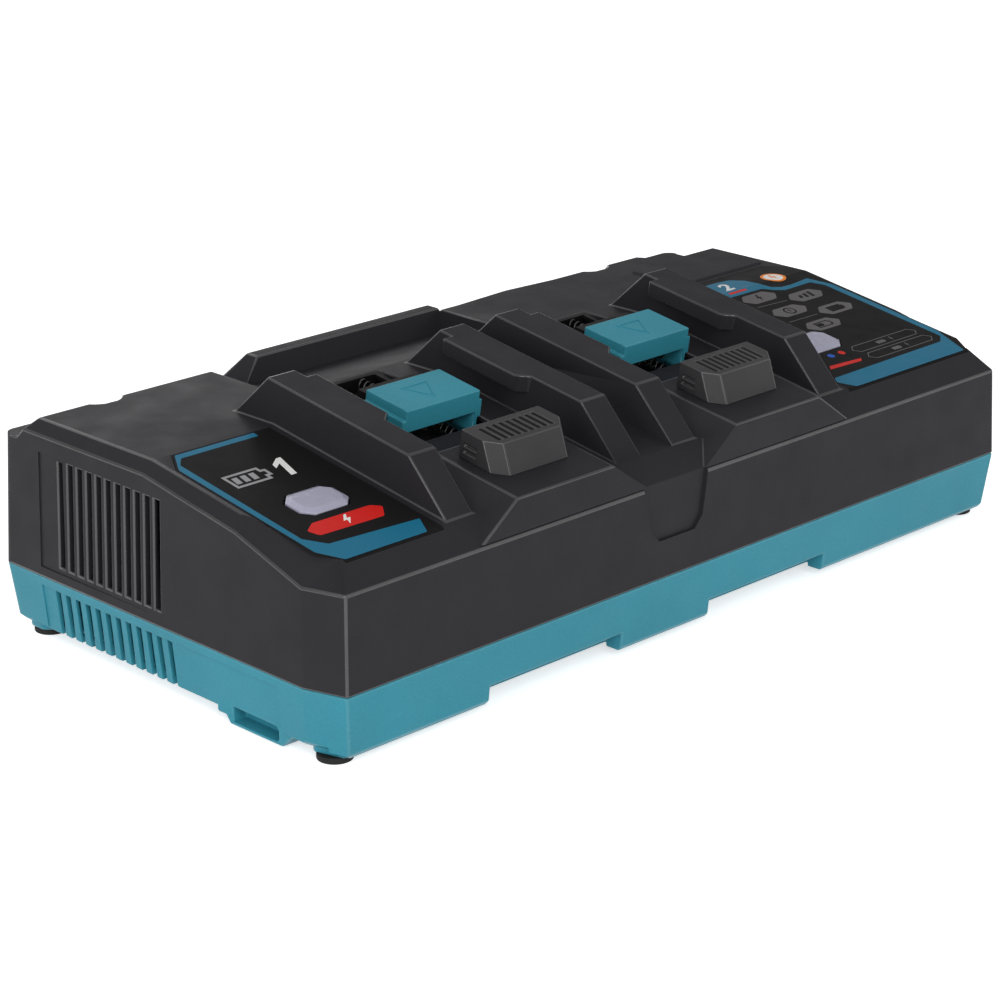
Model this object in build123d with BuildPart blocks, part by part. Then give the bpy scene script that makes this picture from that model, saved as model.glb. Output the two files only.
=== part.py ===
from build123d import *

import os
from math import cos, hypot, radians, sin, tan

# A dual-bay charger for slide-on tool batteries. Two batteries slide up the sloped top,
# between guide rails, and push a sprung terminal cover back off the contact blades.
# Millimetres. X runs along the long side, Y to the back, Z up. The origin is on the
# surface that the charger stands on, under the middle of its box.

# ---------------------------------------------------------------- driving dimensions

# Housings
LENGTH = 372.0
DEPTH = 188.4
SEAM_Z = 27.5
FOOT_HEIGHT = 2.4
BODY_GAP = 5.0
SKIRT_GAP = 3.2
WALL = 2.5
UPPER_DRAFT = 2.1
LOWER_DRAFT = 6.0
FACET_ALONG_END = 16.7
FACET_ALONG_FRONT = 5.25
BACK_CORNER_RADIUS = 5.0
BOTTOM_CHAMFER = 1.6
CLEARANCE = 0.2

# Sloped top
TOP_Z = 86.9
ORIGIN_FROM_FRONT = 94.2
FOLD_ALONG = 8.0
SLOPE = 8.9
FRONT_EDGE_Z = 63.5
REAR_EDGE_INSET = 19.2
LEDGE_Z = 78.5
END_CHAMFER = 4.4

# Battery bays
BAY_MID_X = -16.0
BAY_SPACING = 116.0
BAY_CLEAR_WIDTH = 73.0
RAIL_WIDTH = 13.2
RAIL_HEIGHT = 16.7
RAIL_FRONT_FOOT = -83.7
RAIL_FRONT_TOP = -62.0
RAIL_REAR_TOP = 13.6
RAIL_REAR_FOOT = 30.5
RAIL_ROOT = 4.0
LIP_DEPTH = 4.6
LIP_THICKNESS = 6.6
LIP_FRONT = -34.0
LIP_REAR = 7.0
LIP_RAMP = 2.0
HUMP_TOP_WIDTH = 49.0
HUMP_HEIGHT = 6.3
HUMP_SIDE_ANGLE = 35.5
HUMP_REAR = -47.0
HUMP_CHAMFER = 3.0

# Front recess between the bays
RECESS_TOP_WIDTH = 35.3
RECESS_BOTTOM_WIDTH = 19.3
RECESS_BOTTOM_Z = 42.5
RECESS_SHOULDER_Z = 47.0
RECESS_DEPTH = 1.3

# Valley and bar behind the left bay, ridge and badge pad behind the right bay
VALLEY_LEFT_X = -98.0
VALLEY_RIGHT_X = 24.0
VALLEY_ALONG = 33.0
VALLEY_FLOOR_Z = 77.0
BAR_LEFT_X = -80.0
BAR_RIGHT_X = 32.0
BAR_TOP_DEPTH = 6.5
BAR_REAR_INSET = 3.2
BAR_END_SLOPE = 7.0
RIDGE_LEFT_X = 34.0
RIDGE_X = 60.0
RIDGE_RIGHT_X = 91.0
RIDGE_HEIGHT = 1.4
RIDGE_FRONT_Y = 38.0
RIDGE_FRONT_RUN = 8.0
PAD_LEFT_X = 122.0
PAD_END_GAP = 12.0
PAD_FRONT_Y = 28.5
PAD_REAR_Y = 58.0
PAD_HEIGHT = 0.8
PAD_CORNER = 8.0
CORNER_STEP_X = 143.5
CORNER_STEP_RUN = 8.0
CORNER_STEP_Y = 62.0
SCOOP_RADIUS = 9.0
SCOOP_OFFSET_X = 133.0
SCOOP_DEPTH = 5.0
KEY_SLOT = (11.0, 4.0, 1.5)
KEY_SLOT_PLACE = (46.5, 6.0)

# Vents in the ends
UPPER_VENT_COUNT = 11
UPPER_VENT_PITCH = 5.66
UPPER_VENT_WIDTH = 2.9
UPPER_VENT_BOTTOM_Z = 33.9
UPPER_VENT_TOP_Z = 74.7
LOWER_VENT_COUNT = 12
LOWER_VENT_PITCH = 6.0
LOWER_VENT_WIDTH = 3.0
LOWER_VENT_TOP_Z = 22.9
VENT_MID_Y = 29.0
VENT_CUT_DEPTH = 7.5
UPPER_RELIEF_FRONT_Y = 0.8
UPPER_RELIEF_REAR_Y = 70.0
UPPER_RELIEF_LOW_Z = 31.4
UPPER_RELIEF_HIGH_Z = 76.0
UPPER_RELIEF_DEPTH = 0.5
LOWER_RELIEF_FRONT_Y = -63.0
LOWER_RELIEF_REAR_Y = 71.0
LOWER_RELIEF_TOP_Z = 23.9
LOWER_RELIEF_DEPTH = 0.8
POCKET_FRONT_Y = -60.8
POCKET_REAR_Y = -36.8
POCKET_BOTTOM_Z = 1.7
POCKET_TOP_Z = 7.2
POCKET_DEPTH = 6.0
POCKET_SKIN = 1.2
POCKET_STEP_Z = 3.1
POCKET_STEP = 4.2

# Cut-outs under the front edge of the lower housing
CUTOUT_LEFT_X = (-111.8, -44.0)
CUTOUT_RIGHT_X = (4.8, 73.0)
CUTOUT_TOP_Z = 10.7
CUTOUT_DEPTH = 10.0

# Terminal cover and terminal block
COVER_WIDTH = 37.0
COVER_FRONT = -28.4
COVER_LENGTH = 22.4
COVER_TOP = 12.2
COVER_WALL = 2.0
COVER_FRONT_DROP = 8.9
COVER_SKIRT = 1.6
COVER_SKIRT_TOP = 8.2
COVER_SKIRT_BOTTOM = 1.0
COVER_TRAVEL = 22.0
RUNNER_REACH = 1.9
RUNNER_THICKNESS = 2.0
RUNNER_BOTTOM = -7.5
RUNNING_GAP = 0.3
WINDOW_WIDTH = 44.0
WINDOW_FRONT = -31.3
BLOCK_RIM = -3.6
BLOCK_FLOOR = -10.0
BLOCK_FLOOR_THICKNESS = 2.0
BLOCK_FLANGE_REACH = 4.0
BLOCK_FLANGE_TOP = -7.2
CONTACT_BAR_THICKNESS = 5.5
CONTACT_BAR_TOP = 8.4
CONTACT_BAR_WIDTH = 30.0
BLADE_SPACING = 7.0
BLADE_COUNT = 4
BLADE_THICKNESS = 0.8
BLADE_BOTTOM = -1.6
BLADE_TOP = 6.6
BLADE_REACH = 20.5
SPRING_OFFSET = 11.5
SPRING_RADIUS = 2.7
SPRING_WIRE = 0.7
SPRING_HEIGHT = -6.1
SPRING_ROOM = 12.5
TONGUE_WIDTH = 5.4

# Air vents
AIR_VENT_WIDTH = 39.0
AIR_VENT_FRONT = -79.0
AIR_VENT_REAR = -57.0
AIR_VENT_TOP = 17.2
AIR_VENT_LEAN = 5.6
AIR_VENT_CORNER = 5.0
AIR_VENT_SKIN = 1.6
AIR_SLOT_COUNT = 9
AIR_SLOT_WIDTH = 1.6
AIR_SLOT_PITCH = 3.3
AIR_SLOT_LENGTH = 11.0
AIR_SIDE_SLOT = (6.0, 1.2, 1.0)
AIR_SIDE_SLOT_PITCH = 2.5
AIR_SIDE_SLOT_PLACE = (-62.4, 10.8)
SPIGOT_WIDTH = 27.0
SPIGOT_LENGTH = 14.0

# Label plates and indicator lenses
LABEL_THICKNESS = 0.5
LABEL_FRONT_Y = -85.0
LABEL_END_GAP = 8.0
LABEL_CORNER_X = 6.0
LABEL_CORNER_Y = 10.0
LABEL_RAIL_GAP = 3.0
LABEL_REAR_Y = {"left": 7.0, "right": 26.0}
LENS_SHARE = 0.438
LENS_Y = -46.6
LENS_LENGTH = 23.4
LENS_WIDTH = 16.2
LENS_HEIGHT = 1.5
LENS_CUT = 4.0
LENS_STEM = 4.6

# Feet, screws and posts
FOOT_RADIUS = 6.5
FOOT_PEG_RADIUS = 3.0
FOOT_PEG_HEIGHT = 2.2
FOOT_BOSS_RADIUS = 7.4
FOOT_END_GAP = 11.0
FOOT_SIDE_GAP = 13.4
POST_RADIUS = 4.0
SCREW_RADIUS = 1.5
SCREW_HEAD_RADIUS = 3.0
SCREW_HEAD_HEIGHT = 2.2
SCREW_HEAD_DEPTH = 5.0
SCREW_REACH_ABOVE_SEAM = 12.0
POST_GAP = 0.3
PILOT_CLEARANCE = 0.05
POST_END_GAP = 15.0
POST_FRONT_GAP = 28.2
POST_REAR_GAP = 22.2
MIDDLE_POST_FRONT_GAP = 18.2
MIDDLE_POST_REAR_GAP = 30.2

# Fans
FAN_SIZE = 60.0
FAN_DEPTH = 25.0
FAN_BORE_RADIUS = 28.5
FAN_Z = 49.0
FAN_END_GAP = 1.5
FAN_HUB_RADIUS = 12.0
FAN_HUB_LENGTH = 18.0
FAN_BLADE_RADIUS = 27.4
FAN_BLADES = 7
FAN_BLADE_THICKNESS = 1.4
FAN_BLADE_PITCH = 38.0
FAN_PIN_RADIUS = 1.5
FAN_PIN_CLEARANCE = 0.05
FAN_STRUT_WIDTH = 4.0
FAN_STRUT_DEPTH = 3.0
FAN_RIB_SPACING = 44.0

# Electronics
BOARD_END_GAP = 38.0
BOARD_FRONT_GAP = 24.2
BOARD_REAR_GAP = 36.2
BOARD_THICKNESS = 1.6
STANDOFF_HEIGHT = 7.0
STANDOFF_RADIUS = 3.5
STANDOFF_PEG_RADIUS = 1.5
STANDOFF_END_GAP = 8.0
STANDOFF_SIDE_GAP = 10.0
CORE_SIZE = (54.0, 44.0, 38.0)
CORE_LIMB = 10.0
CORE_MIDDLE_LIMB = 14.0
CORE_END_GAP = 62.0
CORE_Y = 16.0
WINDING_GAP = 0.3
HEAT_SINK_LENGTH = 96.0
HEAT_SINK_DEPTH = 26.0
HEAT_SINK_HEIGHT = 32.0
HEAT_SINK_BASE = 4.0
HEAT_SINK_FINS = 6
HEAT_SINK_FIN = 1.6
HEAT_SINK_Y = -42.0
CAPACITOR_RADIUS = 11.0
CAPACITOR_HEIGHT = 34.0
CAPACITOR_SPACING = 25.0
CAPACITOR_END_GAP = 60.0
CAPACITOR_Y = 24.0
CHOKE_RADIUS = 15.0
CHOKE_HOLE_RADIUS = 7.0
CHOKE_HEIGHT = 14.0
CHOKE_PLACE = (24.0, 30.0)
FUSE_RADIUS = 2.6
FUSE_LENGTH = 20.0
FUSE_CAP = 5.0
FUSE_PLACE = (0.0, 8.0)
INDICATOR_BOARD = (34.0, 24.0)
INDICATOR_LED_RADIUS = 2.4

# Cord bushing in the rear wall
BUSHING_X = 120.0
BUSHING_BORE_RADIUS = 4.2
BUSHING_NECK_RADIUS = 7.0
BUSHING_FLANGE_RADIUS = 9.5
BUSHING_FLANGE = 2.5
BUSHING_NECK_CLEARANCE = 0.1
REAR_POCKET_DEPTH = 9.0
REAR_POCKET_WIDTH = 34.0
REAR_POCKET_HEIGHT = 12.0

# ---------------------------------------------------------------- derived values

BODY_BOTTOM_Z = BODY_GAP
FLOOR_TOP_Z = BODY_BOTTOM_Z + WALL
RISE = tan(radians(SLOPE))
ORIGIN_Y = ORIGIN_FROM_FRONT - DEPTH / 2
SLOPE_Z = TOP_Z - FOLD_ALONG * RISE
REAR_EDGE_Y = DEPTH / 2 - REAR_EDGE_INSET
BAR_REAR_Y = DEPTH / 2 - BAR_REAR_INSET
VALLEY_FRONT_Y = ORIGIN_Y + VALLEY_ALONG
OFF_SLOPE = Axis((0, 0, 0), (0, -sin(radians(SLOPE)), cos(radians(SLOPE))))
SKY_Z = TOP_Z + 30.0
BAYS = {
    "left": BAY_MID_X - BAY_SPACING / 2,
    "right": BAY_MID_X + BAY_SPACING / 2,
}
OUTWARD = {"left": -1, "right": 1}
RAIL_INNER = BAY_CLEAR_WIDTH / 2
RAIL_OUTER = RAIL_INNER + RAIL_WIDTH
CONTACT_BAR_FRONT = COVER_FRONT + COVER_WALL + COVER_TRAVEL + 3 * RUNNING_GAP
CHANNEL_REAR = COVER_FRONT + COVER_LENGTH + COVER_TRAVEL + SPRING_ROOM
WINDOW_REAR = CHANNEL_REAR + COVER_WALL + RUNNING_GAP
LENS_OFFSET_X = RAIL_OUTER + LENS_SHARE * (LENGTH / 2 + BAYS["left"] - RAIL_OUTER)
FOOT_X = LENGTH / 2 - FOOT_END_GAP
FOOT_Y = DEPTH / 2 - FOOT_SIDE_GAP
POST_X = LENGTH / 2 - POST_END_GAP
POST_FRONT_Y = POST_FRONT_GAP - DEPTH / 2
POST_REAR_Y = DEPTH / 2 - POST_REAR_GAP
POST_PLACES = [
    (-POST_X, POST_FRONT_Y),
    (POST_X, POST_FRONT_Y),
    (-POST_X, POST_REAR_Y),
    (POST_X, POST_REAR_Y),
    (BAY_MID_X, MIDDLE_POST_FRONT_GAP - DEPTH / 2),
    (BAY_MID_X, DEPTH / 2 - MIDDLE_POST_REAR_GAP),
]
BOARD_LENGTH = LENGTH - 2 * BOARD_END_GAP
CORE_PLACE = (BOARD_LENGTH / 2 - CORE_END_GAP, CORE_Y)
CAPACITOR_PLACE = (CAPACITOR_END_GAP - BOARD_LENGTH / 2, CAPACITOR_Y)
BOARD_FRONT_Y = BOARD_FRONT_GAP - DEPTH / 2
BOARD_REAR_Y = DEPTH / 2 - BOARD_REAR_GAP
BOARD_Z = FLOOR_TOP_Z + STANDOFF_HEIGHT
BOARD_TOP_Z = BOARD_Z + BOARD_THICKNESS
STANDOFF_X = BOARD_LENGTH / 2 - STANDOFF_END_GAP
STANDOFF_PLACES = [
    (x, y)
    for x in (-STANDOFF_X, 0, STANDOFF_X)
    for y in (BOARD_FRONT_Y + STANDOFF_SIDE_GAP, BOARD_REAR_Y - STANDOFF_SIDE_GAP)
]


def inset_at(z):
    """Distance that a wall has drawn in from its place at the seam."""
    if z >= SEAM_Z:
        return (z - SEAM_Z) * tan(radians(UPPER_DRAFT))
    return (SEAM_Z - z) * tan(radians(LOWER_DRAFT))


def slope_plane(x, along=0.0):
    """Plane on the sloped top: local x along the charger, local y up the slope."""
    tilt = radians(SLOPE)
    origin = (x, ORIGIN_Y + along * cos(tilt), SLOPE_Z + along * sin(tilt))
    return Plane(origin=origin, x_dir=(1, 0, 0), z_dir=(0, -sin(tilt), cos(tilt)))


def slope_section(x, along=0.0):
    """Plane across the slope: local x along the charger, local y off the slope."""
    tilt = radians(SLOPE)
    origin = (x, ORIGIN_Y + along * cos(tilt), SLOPE_Z + along * sin(tilt))
    return Plane(origin=origin, x_dir=(1, 0, 0), z_dir=(0, -cos(tilt), -sin(tilt)))


def slope_profile(x):
    """Plane that holds side profiles: local x up the slope, local y off the slope."""
    tilt = radians(SLOPE)
    origin = (x, ORIGIN_Y, SLOPE_Z)
    return Plane(origin=origin, x_dir=(0, cos(tilt), sin(tilt)), z_dir=(1, 0, 0))


def plan_outline(z, inset):
    """Plan of the charger: cut front corners, rounded back corners."""
    half_x = LENGTH / 2 - inset
    half_y = DEPTH / 2 - inset
    with BuildSketch(Plane.XY.offset(z)) as outline:
        with BuildLine():
            Polyline(
                (-half_x, half_y),
                (-half_x, FACET_ALONG_END - half_y),
                (FACET_ALONG_FRONT - half_x, -half_y),
                (half_x - FACET_ALONG_FRONT, -half_y),
                (half_x, FACET_ALONG_END - half_y),
                (half_x, half_y),
                close=True,
            )
        make_face()
        back_corners = outline.vertices().group_by(Axis.Y)[-1]
        fillet(back_corners, BACK_CORNER_RADIUS)
    return outline.sketch


def drafted_block(low_z, high_z, thickness):
    """Solid inside the drafted walls between two heights, less a wall thickness."""
    with BuildPart() as block:
        loft(
            [
                plan_outline(low_z, inset_at(low_z) + thickness),
                plan_outline(high_z, inset_at(high_z) + thickness),
            ],
            ruled=True,
        )
    return block.part


def chamfered_block(low_z):
    """Solid inside the lower walls from a height to the seam, chamfered round its foot."""
    wall_z = low_z + BOTTOM_CHAMFER
    with BuildPart() as block:
        loft(
            [
                plan_outline(low_z, inset_at(wall_z) + BOTTOM_CHAMFER),
                plan_outline(wall_z, inset_at(wall_z)),
                plan_outline(SEAM_Z, 0),
            ],
            ruled=True,
        )
    return block.part


def end_wall_plane(hand, z, draft):
    """Plane along an end wall: local y outwards, normal up, local x to the back at the left end."""
    lean = radians(draft)
    rise = (-hand * sin(lean), 0, cos(lean)) if z >= SEAM_Z else (hand * sin(lean), 0, cos(lean))
    x_dir = (0, 1, 0) if hand < 0 else (0, -1, 0)
    return Plane(origin=(hand * (LENGTH / 2 - inset_at(z)), 0, z), x_dir=x_dir, z_dir=rise)


def top_profile(drop):
    """Side profile under the sloped top, lowered by a wall thickness."""
    slope_z = SLOPE_Z - drop / cos(radians(SLOPE))
    chamfer_z = FRONT_EDGE_Z + DEPTH / 2 - inset_at(FRONT_EDGE_Z) - drop / cos(radians(45))
    crest_y = (slope_z - ORIGIN_Y * RISE - chamfer_z) / (1 - RISE)
    fold_y = ORIGIN_Y + (TOP_Z - drop - slope_z) / RISE
    rear_edge_y = REAR_EDGE_Y - drop * tan(radians(22.5))
    with BuildSketch(Plane.YZ) as profile:
        with BuildLine():
            Polyline(
                (-DEPTH, chamfer_z - DEPTH),
                (crest_y, chamfer_z + crest_y),
                (fold_y, TOP_Z - drop),
                (rear_edge_y, TOP_Z - drop),
                (rear_edge_y + TOP_Z - LEDGE_Z, LEDGE_Z - drop),
                (DEPTH, LEDGE_Z - drop),
                (DEPTH, chamfer_z - DEPTH),
                close=True,
            )
        make_face()
    return profile.sketch


def end_chamfer_plane(hand, slope, drop):
    """Plane that chamfers an end of the top where the top has the given slope."""
    tilt = radians(slope)
    height = SLOPE_Z if slope else TOP_Z
    edge_x = LENGTH / 2 - inset_at(TOP_Z) - END_CHAMFER
    plane = Plane(origin=(hand * edge_x, ORIGIN_Y, height), z_dir=(hand, -sin(tilt), cos(tilt)))
    return plane.offset(-drop)


def corner_chamfer_plane(hand, drop):
    """Plane that chamfers the top along a cut front corner."""
    facet = hypot(FACET_ALONG_END, FACET_ALONG_FRONT)
    corner_x = LENGTH / 2 - inset_at(FRONT_EDGE_Z) - FACET_ALONG_FRONT
    corner_y = inset_at(FRONT_EDGE_Z) - DEPTH / 2
    outward = (hand * FACET_ALONG_END / facet, -FACET_ALONG_FRONT / facet, 1)
    plane = Plane(origin=(hand * corner_x, corner_y, FRONT_EDGE_Z), z_dir=outward)
    return plane.offset(-drop)


def housing_form(low_z, thickness):
    """Drafted walls under the sloped, chamfered top, less a wall thickness."""
    with BuildPart() as form:
        add(drafted_block(low_z, SKY_Z, thickness))
        extrude(top_profile(thickness), amount=LENGTH, both=True, mode=Mode.INTERSECT)
        for hand in (-1, 1):
            split(bisect_by=end_chamfer_plane(hand, 0, thickness), keep=Keep.BOTTOM)
            split(bisect_by=end_chamfer_plane(hand, SLOPE, thickness), keep=Keep.BOTTOM)
            split(bisect_by=corner_chamfer_plane(hand, thickness), keep=Keep.BOTTOM)
    return form.part


def rear_scoops(thickness):
    """Finger scoops in the back edge of the top."""
    with BuildPart() as scoops:
        with BuildSketch(Plane.XY.offset(TOP_Z - SCOOP_DEPTH - thickness)):
            for hand in (-1, 1):
                with Locations((BAY_MID_X + hand * SCOOP_OFFSET_X, REAR_EDGE_Y + SCOOP_DEPTH)):
                    Circle(SCOOP_RADIUS + thickness)
        extrude(amount=2 * (SCOOP_DEPTH + thickness))
    return scoops.part


def bay_hump(bay_x):
    """Raised tongue with sloped sides that leads a battery into its bay."""
    foot_width = HUMP_TOP_WIDTH + 4 * HUMP_HEIGHT / tan(radians(HUMP_SIDE_ANGLE))
    with BuildPart() as hump:
        add(drafted_block(SEAM_Z, SKY_Z, 0))
        with BuildSketch(slope_section(bay_x, HUMP_REAR)):
            with BuildLine():
                Polyline(
                    (-HUMP_TOP_WIDTH / 2, HUMP_HEIGHT),
                    (HUMP_TOP_WIDTH / 2, HUMP_HEIGHT),
                    (foot_width / 2, -HUMP_HEIGHT),
                    (-foot_width / 2, -HUMP_HEIGHT),
                    close=True,
                )
            make_face()
        extrude(amount=DEPTH, mode=Mode.INTERSECT)
        front_edges = hump.edges().filter_by(Axis.X).group_by(Axis.Y)[0]
        chamfer(front_edges.sort_by(Axis.Z)[-1], HUMP_CHAMFER)
    return hump.part


def guide_rail(bay_x, hand):
    """One rail of a bay with the lip that holds the battery down."""
    with BuildPart() as rail:
        with BuildSketch(slope_profile(bay_x + hand * RAIL_INNER)):
            with BuildLine():
                Polyline(
                    (RAIL_FRONT_FOOT, 0),
                    (RAIL_FRONT_TOP, RAIL_HEIGHT),
                    (RAIL_REAR_TOP, RAIL_HEIGHT),
                    (RAIL_REAR_FOOT, -RAIL_ROOT),
                    (FOLD_ALONG, -WALL / 2),
                    close=True,
                )
            make_face()
        extrude(amount=hand * RAIL_WIDTH)
        with BuildSketch(slope_plane(bay_x).offset(RAIL_HEIGHT)):
            with BuildLine():
                Polyline(
                    (hand * RAIL_INNER, LIP_FRONT - LIP_RAMP),
                    (hand * (RAIL_INNER - LIP_DEPTH), LIP_FRONT + LIP_RAMP),
                    (hand * (RAIL_INNER - LIP_DEPTH), LIP_REAR),
                    (hand * RAIL_INNER, LIP_REAR),
                    close=True,
                )
            make_face()
        extrude(amount=-LIP_THICKNESS)
    return rail.part


def valley_solid(thickness):
    """Space that the battery's tail hangs over, behind the left bay."""
    with BuildPart() as valley:
        with BuildSketch(Plane.YZ.offset(VALLEY_LEFT_X - thickness)):
            with BuildLine():
                Polyline(
                    (VALLEY_FRONT_Y - thickness, TOP_Z),
                    (REAR_EDGE_Y, VALLEY_FLOOR_Z - thickness),
                    (DEPTH, VALLEY_FLOOR_Z - thickness),
                    (DEPTH, SKY_Z),
                    (VALLEY_FRONT_Y - thickness, SKY_Z),
                    close=True,
                )
            make_face()
        extrude(amount=VALLEY_RIGHT_X - VALLEY_LEFT_X + 2 * thickness)
    return valley.part


def rear_bar():
    """Bar along the back edge, behind the valley."""
    with BuildPart() as bar:
        with BuildSketch(Plane.YZ.offset(BAR_LEFT_X)):
            with BuildLine():
                Polyline(
                    (REAR_EDGE_Y, VALLEY_FLOOR_Z - WALL),
                    (REAR_EDGE_Y + WALL, TOP_Z),
                    (REAR_EDGE_Y + WALL + BAR_TOP_DEPTH, TOP_Z),
                    (BAR_REAR_Y, VALLEY_FLOOR_Z),
                    (BAR_REAR_Y, VALLEY_FLOOR_Z - WALL),
                    close=True,
                )
            make_face()
        extrude(amount=BAR_RIGHT_X - BAR_LEFT_X)
        with BuildSketch(Plane.XZ):
            with BuildLine():
                Polyline(
                    (BAR_LEFT_X, 0),
                    (BAR_LEFT_X, VALLEY_FLOOR_Z),
                    (BAR_LEFT_X + BAR_END_SLOPE, TOP_Z),
                    (BAR_RIGHT_X - BAR_END_SLOPE, TOP_Z),
                    (BAR_RIGHT_X, VALLEY_FLOOR_Z),
                    (BAR_RIGHT_X, 0),
                    close=True,
                )
            make_face()
        extrude(amount=DEPTH, both=True, mode=Mode.INTERSECT)
    return bar.part


def rear_ridge():
    """Low ridge behind the right bay, falling away to both sides."""
    with BuildPart() as ridge:
        with BuildSketch(Plane.XZ.offset(-RIDGE_FRONT_Y)):
            with BuildLine():
                Polyline(
                    (RIDGE_LEFT_X, TOP_Z),
                    (RIDGE_X, TOP_Z + RIDGE_HEIGHT),
                    (RIDGE_RIGHT_X, TOP_Z),
                    (RIDGE_RIGHT_X, TOP_Z - WALL),
                    (RIDGE_LEFT_X, TOP_Z - WALL),
                    close=True,
                )
            make_face()
        extrude(amount=-(REAR_EDGE_Y - RIDGE_FRONT_Y))
        with BuildSketch(Plane.YZ.offset(RIDGE_LEFT_X)):
            with BuildLine():
                Polyline(
                    (RIDGE_FRONT_Y, TOP_Z - WALL),
                    (RIDGE_FRONT_Y, TOP_Z),
                    (RIDGE_FRONT_Y + RIDGE_FRONT_RUN, TOP_Z + RIDGE_HEIGHT),
                    (REAR_EDGE_Y - RIDGE_HEIGHT, TOP_Z + RIDGE_HEIGHT),
                    (REAR_EDGE_Y, TOP_Z),
                    (REAR_EDGE_Y, TOP_Z - WALL),
                    close=True,
                )
            make_face()
        extrude(amount=RIDGE_RIGHT_X - RIDGE_LEFT_X, mode=Mode.INTERSECT)
    return ridge.part


def badge_pad():
    """Low raised pad behind the right label, left bare."""
    with BuildPart() as pad:
        with BuildSketch(Plane.XY.offset(TOP_Z - WALL)) as plan:
            with Locations((PAD_LEFT_X, PAD_FRONT_Y)):
                Rectangle(
                    LENGTH / 2 - PAD_END_GAP - PAD_LEFT_X,
                    PAD_REAR_Y - PAD_FRONT_Y,
                    align=(Align.MIN, Align.MIN),
                )
            rear_corners = plan.vertices().group_by(Axis.Y)[-1]
            fillet(rear_corners.sort_by(Axis.X)[-1], PAD_CORNER)
        extrude(amount=WALL + PAD_HEIGHT)
        chamfer(pad.faces().sort_by(Axis.Z)[-1].edges(), PAD_HEIGHT * 0.9)
    return pad.part


def corner_step(thickness):
    """Space cut from the rear right corner of the top, grown by a wall thickness."""
    reach = LENGTH
    with BuildPart() as step:
        with BuildSketch(Plane.XY.offset(LEDGE_Z - thickness)):
            with BuildLine():
                Polyline(
                    (CORNER_STEP_X - thickness, REAR_EDGE_Y),
                    (CORNER_STEP_X + CORNER_STEP_RUN - thickness, CORNER_STEP_Y - thickness),
                    (reach, CORNER_STEP_Y - thickness),
                    (reach, DEPTH),
                    (CORNER_STEP_X - thickness, DEPTH),
                    close=True,
                )
            make_face()
        extrude(amount=SKY_Z - LEDGE_Z)
    return step.part


def label_solid(side, gap):
    """Label plate let into the top, drawn in by a gap; it follows the top over its fold."""
    hand = OUTWARD[side]
    inner_x = abs(BAYS[side] + hand * RAIL_OUTER) + LABEL_RAIL_GAP + gap
    outer_x = LENGTH / 2 - LABEL_END_GAP - gap
    front = LABEL_FRONT_Y + gap
    rear = LABEL_REAR_Y[side] - gap
    corners = [
        (inner_x, front),
        (outer_x - LABEL_CORNER_X, front),
        (outer_x, front + LABEL_CORNER_Y),
        (outer_x, rear - LABEL_CORNER_Y),
        (outer_x - LABEL_CORNER_X, rear),
        (inner_x, rear),
    ]
    with BuildPart() as plate:
        with BuildSketch(Plane.XY.offset(SEAM_Z)):
            with BuildLine():
                Polyline([(hand * x, y) for x, y in corners], close=True)
            make_face()
        extrude(amount=SKY_Z - SEAM_Z)
        extrude(top_profile(0), amount=LENGTH, both=True, mode=Mode.INTERSECT)
        extrude(top_profile(LABEL_THICKNESS), amount=LENGTH, both=True, mode=Mode.SUBTRACT)
    return plate.part


def lens_outline(side, gap):
    """Outline of an indicator lens on the slope, grown by a gap."""
    stretch = 1 / cos(radians(SLOPE))
    lens_x = BAYS[side] + OUTWARD[side] * LENS_OFFSET_X
    with BuildSketch(slope_plane(lens_x)) as outline:
        with Locations((0, LENS_Y * stretch)):
            Rectangle(LENS_LENGTH + 2 * gap, LENS_WIDTH + 2 * gap)
        chamfer(outline.vertices(), LENS_CUT)
    return outline.sketch


def window_box(bay_x, gap, low, high):
    """Block in a bay's terminal window, drawn in by a gap."""
    with BuildPart() as box:
        with BuildSketch(slope_plane(bay_x, (WINDOW_FRONT + WINDOW_REAR) / 2).offset(low)):
            Rectangle(WINDOW_WIDTH - 2 * gap, WINDOW_REAR - WINDOW_FRONT - 2 * gap)
        extrude(amount=high - low)
    return box.part


def spigot_box(bay_x, gap, low, high):
    """Block in a bay's air window, drawn in by a gap."""
    middle = (AIR_VENT_FRONT + AIR_VENT_REAR) / 2
    with BuildPart() as box:
        with BuildSketch(slope_plane(bay_x, middle).offset(low)):
            Rectangle(SPIGOT_WIDTH - 2 * gap, SPIGOT_LENGTH - 2 * gap)
        extrude(amount=high - low)
    return box.part


def rear_pocket(thickness):
    """Pocket in the rear wall round the cord bushing."""
    inner_y = DEPTH / 2 - REAR_POCKET_DEPTH - thickness
    with BuildPart() as pocket:
        with BuildSketch(Plane.XZ.offset(-inner_y)):
            with Locations((BUSHING_X, SEAM_Z)):
                Rectangle(REAR_POCKET_WIDTH + 2 * thickness, 2 * (REAR_POCKET_HEIGHT + thickness))
        extrude(amount=-(REAR_POCKET_DEPTH + WALL + thickness))
    return pocket.part


def bushing_hole():
    """Round hole through the pocket's wall, on the seam."""
    with BuildPart() as hole:
        with BuildSketch(Plane.XZ.offset(-DEPTH / 2 + 2 * REAR_POCKET_DEPTH)):
            with Locations((BUSHING_X, SEAM_Z)):
                Circle(BUSHING_NECK_RADIUS)
        extrude(amount=-2 * REAR_POCKET_DEPTH)
    return hole.part


fan_top_z = FAN_Z + FAN_SIZE / 2
fan_outer_x = LENGTH / 2 - inset_at(fan_top_z) - WALL - FAN_END_GAP

# ---------------------------------------------------------------- upper housing

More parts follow.
